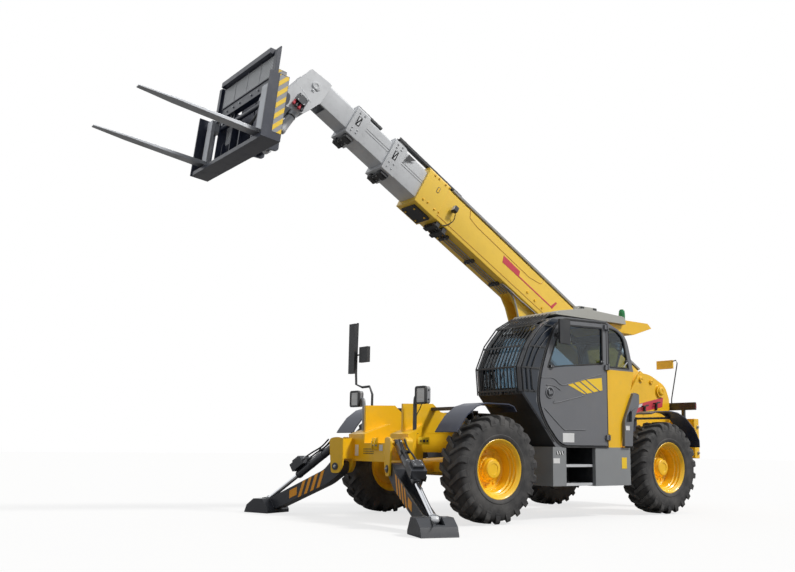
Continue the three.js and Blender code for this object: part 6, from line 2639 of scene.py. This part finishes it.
        for y, height in ((0.470, 1.66), (0.520, 1.62)):
            shape.tube([(1.66, y, 1.42), (1.67, y, 1.52), (1.65, y, height)], 0.009, 10, 1, smooth=3)
            shape.turned(
                [(0.0, -0.03), (0.020, -0.025), (0.026, 0.0), (0.022, 0.030), (0.0, 0.040)], 20, 1,
                Matrix.Translation((1.65, y, height))
            )
        shape.block((1.45, 1.78), (0.436, 0.560), (1.380, 1.425), 0)
        shape.block((1.50, 1.74), (0.446, 0.550), (0.903, 1.380), 0)
        for y in (0.60, 0.93):
            shape.plate(
                rounded([(2.02, 0.96), (2.10, 1.06, 0.01), (2.09, 1.07, 0.01), (2.005, 0.97)]), Axis.Y, y,
                y + 0.07, 1
            )
            shape.tube(
                [(2.06, y + 0.035, 1.0), (2.16, y + 0.035, 1.02), (2.20, y + 0.035, 1.10)], 0.008, 8, 1,
                smooth=3
            )
        piece(
            "driving_console", shape, [Finishes.BLACK, Finishes.RUBBER, Finishes.LENS], "chassis", MACHINE,
            0.002, ["cab_console"]
        )

    def steps(self) -> None:
        """The step plates' treads and the pierced cheek beside them."""
        shape = Shape()
        hole = slot(0.0, 0.0, 0.046, 0.018)
        for z in (0.425, 0.649):
            for i in range(13):
                x = 1.470 + i * 0.036
                shape.block((x, x + 0.010), (0.700, 1.100), (z, z + 0.006), 0)
            shape.block((1.450, 1.962), (1.1002, 1.112), (z - 0.026, z + 0.006), 0)
        cheek = span_oblong((1.640, 1.956), (0.440, 0.846))
        holes = []
        for row in range(6):
            for column in range(4):
                y = 1.690 + column * 0.064 + (0.02 if row % 2 else 0)
                z = 0.480 + row * 0.062
                holes.append([(a + y, b + z) for a, b in hole])
        shape.plate(cheek, Axis.Y, 0.7240, 0.7300, 1, holes)
        shape.block((1.4416, 1.9690), (0.6930, 0.7040), (0.430, 0.858), 2)
        piece(
            "step_treads", shape, [Finishes.PALE, Finishes.MID_GREY, Finishes.BLACK], "chassis", MACHINE,
            0
        )

    def mirrors(self) -> None:
        """The door mirror's glass."""
        shape = Shape()
        shape.plate(rounded_oblong((2.020, 2.180), (2.105, 2.370), 0.02), Axis.Y, 1.2425, 1.2474, 0)
        piece("door_mirror_glass", shape, [Finishes.MIRROR], "cab_door")

    def build(self) -> None:
        """Dresses the cab's nodes and builds its pieces."""
        zones = (
            Zone(MACHINE_YELLOW, (0.50, 1.145, 0.80), (1.222, 1.30, 1.845)),
            Zone(MACHINE_YELLOW, (0.10, 0.44, 2.34), (1.20, 1.11, 2.60)),
            Zone(MACHINE_YELLOW, (0.50, 0.40, 0.80), (0.80, 1.30, 1.845)),
        )
        dress_node(
            "cab_frame",
            Paint(
                "cab_shell_paint", CAB_GREY, roughness=0.42, dust=0.1, wear=0.3,
                wear_colour=linear(80, 82, 86), zones=zones
            )
        )
        dress_node("cab_door", Finishes.GREY)
        dress_node("cab_roof", Paint("roof_paint", linear(176, 176, 170), dust=0.2))
        dress_node("cab_guard", Finishes.BLACK, EdgeBreaker(0.002))
        black = (Zone(NEAR_BLACK, (1.4415, 0.30, 0.30), (1.9690, 1.10, 0.90)),)
        dress_node(
            "cab_steps", Paint("step_box_paint", linear(138, 141, 144), dust=0.12, wear=0.3, zones=black)
        )
        dress_node("cab_mirror", Finishes.BLACK, EdgeBreaker(0.006))
        self.glass()
        self.front_panel()
        self.door_marks()
        self.side_fittings()
        self.seat()
        self.console()
        self.steps()
        self.mirrors()


# ---------------------------------------------------------------- front and rear fittings


@dataclass
class Headlamp:
    """A square work lamp on a bent tube."""

    side: Side
    half: float = 0.098
    front: float = 3.833
    low: float = 1.318
    high: float = 1.522
    middle_y: float = 0.668

    def build(self) -> None:
        """Builds the lamp on the chassis."""
        s = self.side.value
        at = MACHINE @ Matrix.Diagonal((1, s, 1, 1))
        y0, y1 = self.middle_y - self.half, self.middle_y + self.half
        shape = Shape()
        edge = rounded_oblong((y0, y1), (self.low, self.high), 0.035)
        shape.plate(edge, Axis.X, self.front - 0.030, self.front, 0, [inset(edge, 0.022)])
        shape.plate(inset(edge, 0.004), Axis.X, self.front - 0.075, self.front - 0.029, 1)
        shape.plate(inset(edge, 0.022), Axis.X, self.front - 0.029, self.front - 0.010, 2)
        for i in range(5):
            z = self.low + 0.042 + i * 0.030
            shape.block((self.front - 0.010, self.front - 0.006), (y0 + 0.030, y1 - 0.030), (z, z + 0.016), 2)
        shape.plate(inset(edge, 0.020), Axis.X, self.front - 0.090, self.front - 0.075, 1)
        for i in range(6):
            y = y0 + 0.034 + i * 0.026
            shape.block(
                (self.front - 0.0905, self.front - 0.089), (y, y + 0.010),
                (self.low + 0.03, self.high - 0.03), 0
            )
        shape.bolts(
            [(self.front - 0.05, y1 - 0.004, z) for z in (self.low + 0.05, self.high - 0.05)], (0, 1, 0),
            0.010, 0
        )
        arm = [
            (3.783, 0.515, 0.990), (3.783, 0.515, 1.200), (3.783, 0.517, 1.330), (3.783, 0.530, 1.400),
            (3.775, 0.575, 1.420)
        ]
        shape.tube(arm, 0.0225, 16, 3, smooth=6)
        shape.turned(
            [(0.0, 0.985), (0.042, 0.985), (0.042, 0.996), (0.030, 1.000), (0.0, 1.000)], 24, 0,
            Matrix.Translation((3.783, 0.515, 0))
        )
        shape.tube(
            [(3.742, 0.60, 1.36), (3.735, 0.55, 1.28), (3.752, 0.500, 1.18), (3.752, 0.492, 1.00)], 0.006,
            8, 0, smooth=5
        )
        name = self.side.name.lower()
        tube = Finishes.DARK if self.side is Side.LEFT else Finishes.MID_GREY
        piece(
            f"work_lamp_{name}", shape, [Finishes.BLACK, Finishes.MID_GREY, Finishes.LENS, tube], "chassis",
            at, 0.002, [f"headlamp_{name}"]
        )


@dataclass
class Fittings:
    """The chassis' small parts: hooks, plates, handles, lamps, mirrors, beacon and engine bay."""

    nose: float = 3.9406

    def nose_parts(self) -> None:
        """The towing hooks, blank plates, a grid of black dots painted as the shade in drilled holes, and the
        side plate with its plugs.
        """
        shape = Shape()
        for y, z in ((-0.653, 0.0), (-0.012, -0.008)):
            for k in (-1, 1):
                low, high = sorted((y + k * 0.020, y + k * 0.036))
                shape.plate(
                    rounded(
                        [
                            (self.nose + HAIR, 0.808 + z), (self.nose + 0.040, 0.808 + z, 0.02),
                            (self.nose + 0.058, 0.860 + z, 0.02), (self.nose + 0.030, 0.945 + z, 0.02),
                            (self.nose + HAIR, 0.951 + z)
                        ]
                    ),
                    Axis.Y, low, high, 0
                )
            shape.rod(
                (self.nose + 0.032, y - 0.046, 0.862 + z), (self.nose + 0.032, y + 0.046, 0.862 + z), 0.012,
                20, 2
            )
        shape.plate(
            rounded_oblong((-0.453, -0.380), (0.728, 0.858), 0.006), Axis.X, self.nose + HAIR,
            self.nose + 0.002, 1
        )
        shape.plate(
            rounded_oblong((0.050, 0.119), (0.791, 0.861), 0.006), Axis.X, self.nose + HAIR,
            self.nose + 0.002, 1
        )
        # Raised black discs where holes are drilled: painted shade inside the holes.
        for row in range(3):
            for column in range(8):
                shape.turned(
                    span_oblong((0.0, 0.008), (0.0, 0.0015)), 12, 3,
                    Matrix.Translation(
                        (self.nose + HAIR, -0.262 + column * 0.027, 0.757 + row * 0.026)
                    ) @ Matrix.Rotation(math.pi / 2, 4, "Y")
                )
        piece(
            "nose_fittings", shape, [Finishes.MARK, Finishes.WHITE, Finishes.STEEL, Finishes.BLACK],
            "chassis"
        )
        plate = Shape()
        plate.block((3.640, 3.800), (0.6006, 0.6060), (0.870, 0.950), 0)
        for i, size in enumerate((0.012, 0.017, 0.010)):
            plate.turned(
                [(0.0, 0.0), (size, 0.0), (size, 0.010), (0.0, 0.012)], 16, 1,
                outwards((3.675 + i * 0.045, 0.606, 0.910), 1)
            )
        piece("nose_plug_plate", plate, [Finishes.MARK, Finishes.BLACK], "chassis", bevel=0.002)

    def tower_parts(self) -> None:
        """The tower's painted flash, grab handles and pin ends."""
        face = 0.292
        shape = Shape()
        flash = [(-0.454, 1.487), (-0.449, 1.357), (-1.088, 1.472), (-1.118, 1.620)]
        for s in (1, -1):
            low, high = sorted((s * (face + HAIR), s * (face + 0.002)))
            shape.plate(flash, Axis.Y, low, high, 0)
            shape.plate(
                [(-0.47, 1.478), (-0.62, 1.512), (-0.60, 1.462), (-0.47, 1.436)], Axis.Y,
                *sorted((s * (face + 0.0021), s * (face + 0.003))), 1
            )
        piece("tower_flash", shape, [Finishes.RED, Finishes.WHITE], "chassis")
        grips = Shape()
        for x, z in ((-0.648, 1.455), (-0.926, 1.510)):
            grips.tube(
                [
                    (x - 0.050, face + 0.002, z + 0.030), (x - 0.050, face + 0.045, z + 0.030),
                    (x + 0.050, face + 0.045, z + 0.010), (x + 0.050, face + 0.002, z + 0.010)
                ],
                0.011, 10, 0
            )
            grips.block((x - 0.012, x + 0.012), (face + HAIR, face + 0.030), (z - 0.090, z + 0.010), 0)
        for s in (1, -1):
            for x, z, r in ((-1.04, 1.71, 0.060), (-0.591, 1.860, 0.040), (-0.828, 1.835, 0.034)):
                wall = 0.317 if r > 0.05 else face
                turn = outwards((x, s * wall, z), s)
                grips.turned(
                    [
                        (0.0, HAIR), (r, HAIR), (r, 0.014), (r * 0.8, 0.022), (r * 0.45, 0.022),
                        (r * 0.4, 0.014), (0.0, 0.014)
                    ],
                    32, 1, turn
                )
        piece("tower_pins_and_grips", grips, [Finishes.BLACK, Finishes.YELLOW], "chassis", bevel=0.001)

    def rear_parts(self) -> None:
        """The rear lamps' lenses and the counterweight's bolts."""
        shape = Shape()
        for s in (1, -1):
            for k, (y0, y1) in enumerate(((0.440, 0.560), (0.565, 0.635), (0.640, 0.700))):
                low, high = sorted((s * y0, s * y1))
                shape.block((-1.3640, -1.3506), (low, high), (1.448, 1.530), (0, 1, 2)[k])
            ends = sorted((s * 0.7106, s * 0.716))
            shape.plate(rounded_oblong((-1.345, -1.315), (1.450, 1.528), 0.01), Axis.Y, ends[0], ends[1], 0)
        piece(
            "rear_lamp_lenses", shape, [Finishes.RED_LENS, Finishes.AMBER_LENS, Finishes.WHITE], "chassis",
            bevel=0.003
        )
        bolts = Shape()
        low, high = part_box("counterweight")
        for s, wall in ((1, high.y + HAIR), (-1, low.y - HAIR)):
            bolts.bolts([(-1.37, wall, z) for z in (0.80, 1.18)], (0, s, 0), 0.024, 0)
        piece("counterweight_fittings", bolts, [Finishes.STEEL], "chassis", bevel=0.001)

    def beacon(self) -> None:
        """The green flashing beacon on its black foot."""
        low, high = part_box("roof_beacon")
        centre = (low + high) / 2
        tall = high.z - low.z
        radius = (high.x - low.x) / 2
        shape = Shape()
        shape.turned(
            [
                (0.0, 0.0), (radius, 0.0), (radius, tall * 0.14), (radius * 0.9, tall * 0.2),
                (radius * 0.9, tall * 0.3), (0.0, tall * 0.3)
            ],
            36, 0
        )
        lens = [
            (0.0, tall * 0.301), (radius * 0.88, tall * 0.301), (radius * 0.86, tall * 0.72),
            (radius * 0.78, tall * 0.88), (radius * 0.5, tall * 0.975), (0.0, tall)
        ]
        shape.turned(lens, 36, 1)
        for i in range(5):
            z = tall * (0.36 + i * 0.08)
            shape.turned(span_oblong((radius * 0.8, radius * 0.9), (z, z + 0.005)), 36, 1, closed=True)
        piece(
            "beacon", shape, [Finishes.BLACK, Finishes.GREEN_LENS], "chassis",
            Matrix.Translation((centre.x, centre.y, low.z)), 0.001, ["roof_beacon"]
        )

    def engine_side(self) -> None:
        """The engine pod's louvres and its hood's latches."""
        wall = -1.150
        shape = Shape()
        for bank in (0.860, 1.420, 1.980):
            for i in range(7):
                z = 0.760 + i * 0.040
                shape.plate(
                    [
                        (wall - HAIR, z), (wall - 0.014, z + 0.004), (wall - 0.004, z + 0.026),
                        (wall - HAIR, z + 0.028)
                    ],
                    Axis.X, bank, bank + 0.260, 0
                )
        piece("engine_louvres", shape, [Finishes.DARK], "chassis", MACHINE)
        hood = Shape()
        for x in (0.95, 2.10):
            hood.block((x - 0.03, x + 0.03), (wall - 0.020, wall - HAIR), (1.150, 1.240), 0)
            hood.bolts([(x, wall - 0.020, z) for z in (1.170, 1.220)], (0, -1, 0), 0.008, 1)
        piece("engine_hood_latches", hood, [Finishes.BLACK, Finishes.STEEL], "engine_hood", bevel=0.002)

    def mirrors(self) -> None:
        """Glass of the front mirrors."""
        shape = Shape()
        shape.plate(rounded_oblong((-0.862, -0.748), (1.756, 2.368), 0.02), Axis.X, 3.7475, 3.7524, 0)
        shape.plate(rounded_oblong((-0.682, -0.518), (1.890, 2.065), 0.02), Axis.X, 3.7075, 3.7124, 0)
        piece("front_mirror_glasses", shape, [Finishes.MIRROR], "chassis")

    def build(self) -> None:
        """Dresses the chassis and its fittings."""
        for node in ("chassis_frame", "boom_tower"):
            dress_node(node, Finishes.YELLOW, EdgeBreaker(0.005))
        plate = (Zone(NEAR_BLACK, (-1.50, -0.30, 0.93), (-1.43, 0.30, 1.06)),)
        dress_node(
            "counterweight",
            Paint(
                "counterweight_paint", MACHINE_YELLOW, dust_colour=YELLOW_DUST, wear_colour=YELLOW_WEAR,
                zones=plate
            ),
            EdgeBreaker(0.005)
        )
        for end in ("front", "rear"):
            for side in Side:
                dress_node(f"{end}_fender_{side.name.lower()}", Finishes.FENDER, EdgeBreaker(0.004))
        dress_node("front_mirror", Finishes.BLACK, EdgeBreaker(0.004))
        box = (Zone(MACHINE_YELLOW, (-1.50, 0.03, 2.06), (-1.20, 0.336, 2.30)),)
        dress_node(
            "rear_mirror", Paint("rear_mirror_paint", NEAR_BLACK, zones=box, wear=0.1), EdgeBreaker(0.003)
        )
        dress_node("rear_lamps", Finishes.DARK, EdgeBreaker(0.004))
        dress_node("engine_block", Finishes.IRON)
        dress_node("engine_housing", Finishes.DARK, EdgeBreaker(0.006))
        dress_node("engine_hood", Finishes.DARK, EdgeBreaker(0.008))
        self.nose_parts()
        self.tower_parts()
        self.rear_parts()
        self.beacon()
        self.engine_side()
        self.mirrors()


# ---------------------------------------------------------------- studio


@dataclass
class Studio:
    """Camera, light and floor."""

    eye: Point = (6.894, 8.314, 0.863)
    yaw: float = 4.051
    pitch: float = 0.155
    roll: float = 0.013
    focal: float = 38.90
    shift: tuple[float, float] = (-0.0296, 0.0312)
    sun_from: Point = (-0.45, 0.65, 0.75)
    sun_strength: float = 2.45
    sky: float = 0.62
    ground: float = 0.16

    def camera(self) -> None:
        """Places the camera."""
        ahead = Vector(
            (
                math.cos(self.pitch) * math.cos(self.yaw), math.cos(self.pitch) * math.sin(self.yaw),
                math.sin(self.pitch)
            )
        )
        right = ahead.cross(Vector((0, 0, 1))).normalized()
        up = right.cross(ahead)
        c, s = math.cos(self.roll), math.sin(self.roll)
        across, above = right * c + up * s, up * c - right * s
        data = bpy.data.cameras.new("camera")
        data.sensor_width = 36
        data.lens = self.focal
        data.shift_x, data.shift_y = self.shift
        data.clip_start, data.clip_end = 0.1, 200
        made = bpy.data.objects.new("camera", data)
        made.matrix_world = Matrix.Translation(self.eye) @ Matrix(
            (across, above, -ahead)
        ).transposed().to_4x4()
        bpy.context.scene.collection.objects.link(made)
        bpy.context.scene.camera = made

    def light(self) -> None:
        """A soft sun and a sky that is brighter above."""
        lamp = bpy.data.lights.new("sun", "SUN")
        lamp.energy = self.sun_strength
        lamp.angle = math.radians(10)
        lamp.color = (1.0, 0.975, 0.94)
        made = bpy.data.objects.new("sun", lamp)
        made.rotation_mode = "QUATERNION"
        made.rotation_quaternion = Vector(self.sun_from).to_track_quat("Z", "Y")
        bpy.context.scene.collection.objects.link(made)
        world = bpy.data.worlds.new("studio")
        bpy.context.scene.world = world
        world.use_nodes = True
        world.node_tree.nodes.clear()
        sheet = Sheet(world.node_tree)
        parts = sheet.node("ShaderNodeSeparateXYZ")
        sheet.wire(sheet.node("ShaderNodeTexCoord").outputs["Generated"], parts.inputs[0])
        tall = sheet.span(parts.outputs[2], -0.25, 0.9, self.ground, self.sky)
        rays = sheet.node("ShaderNodeLightPath")
        seen = sheet.math(
            "MAXIMUM", rays.outputs["Is Camera Ray"],
            sheet.math("MAXIMUM", rays.outputs["Is Glossy Ray"], rays.outputs["Is Transmission Ray"])
        )
        strength = sheet.math("MAXIMUM", tall, seen)
        back = sheet.node("ShaderNodeBackground")
        back.inputs["Color"].default_value = (0.97, 0.985, 1.0, 1)
        white = sheet.node("ShaderNodeBackground")
        white.inputs["Color"].default_value = (1, 1, 1, 1)
        mixed = sheet.node("ShaderNodeMixShader")
        out = sheet.node("ShaderNodeOutputWorld")
        sheet.wire(strength, back.inputs["Strength"])
        sheet.wire(rays.outputs["Is Camera Ray"], mixed.inputs[0])
        sheet.wire(back.outputs[0], mixed.inputs[1])
        sheet.wire(white.outputs[0], mixed.inputs[2])
        sheet.wire(mixed.outputs[0], out.inputs[0])

    def floor(self) -> None:
        """A wide pale floor that keeps the machine's shadow."""
        shape = Shape()
        shape.block((-60, 60), (-60, 60), (-0.02, -0.002))
        mesh = bpy.data.meshes.new("floor")
        mesh.from_pydata(shape.verts, [], shape.faces)
        made = bpy.data.objects.new("floor", mesh)
        bpy.context.scene.collection.objects.link(made)
        paint = bpy.data.materials.new("pale_floor")
        paint.use_nodes = True
        paint.node_tree.nodes.clear()
        sheet = Sheet(paint.node_tree)
        rays = sheet.node("ShaderNodeLightPath")
        dull = sheet.node("ShaderNodeBsdfDiffuse")
        dull.inputs["Color"].default_value = (0.24, 0.235, 0.23, 1)
        pale = sheet.node("ShaderNodeBsdfDiffuse")
        pale.inputs["Color"].default_value = (0.9, 0.9, 0.9, 1)
        lit = sheet.node("ShaderNodeEmission")
        lit.inputs["Color"].default_value = (1, 1, 1, 1)
        blend = sheet.node("ShaderNodeMixShader")
        blend.inputs[0].default_value = 0.72
        sheet.wire(pale.outputs[0], blend.inputs[1])
        sheet.wire(lit.outputs[0], blend.inputs[2])
        seen = sheet.math("MAXIMUM", rays.outputs["Is Camera Ray"], rays.outputs["Is Transmission Ray"])
        both = sheet.node("ShaderNodeMixShader")
        out = sheet.node("ShaderNodeOutputMaterial")
        sheet.wire(seen, both.inputs[0])
        sheet.wire(dull.outputs[0], both.inputs[1])
        sheet.wire(blend.outputs[0], both.inputs[2])
        sheet.wire(both.outputs[0], out.inputs[0])
        mesh.materials.append(paint)

    def build(self) -> None:
        """Sets the view up."""
        self.camera()
        self.light()
        self.floor()
        bpy.context.scene.view_settings.view_transform = "Standard"


def main() -> None:
    """Builds the view and every sub-assembly."""
    Studio().build()
    Wheels().build()
    Boom().build()
    Carriage().build()
    for side in Side:
        Stabiliser(side).build()
        Headlamp(side).build()
    Cab().build()
    Fittings().build()


if __name__ == "__main__":
    main()
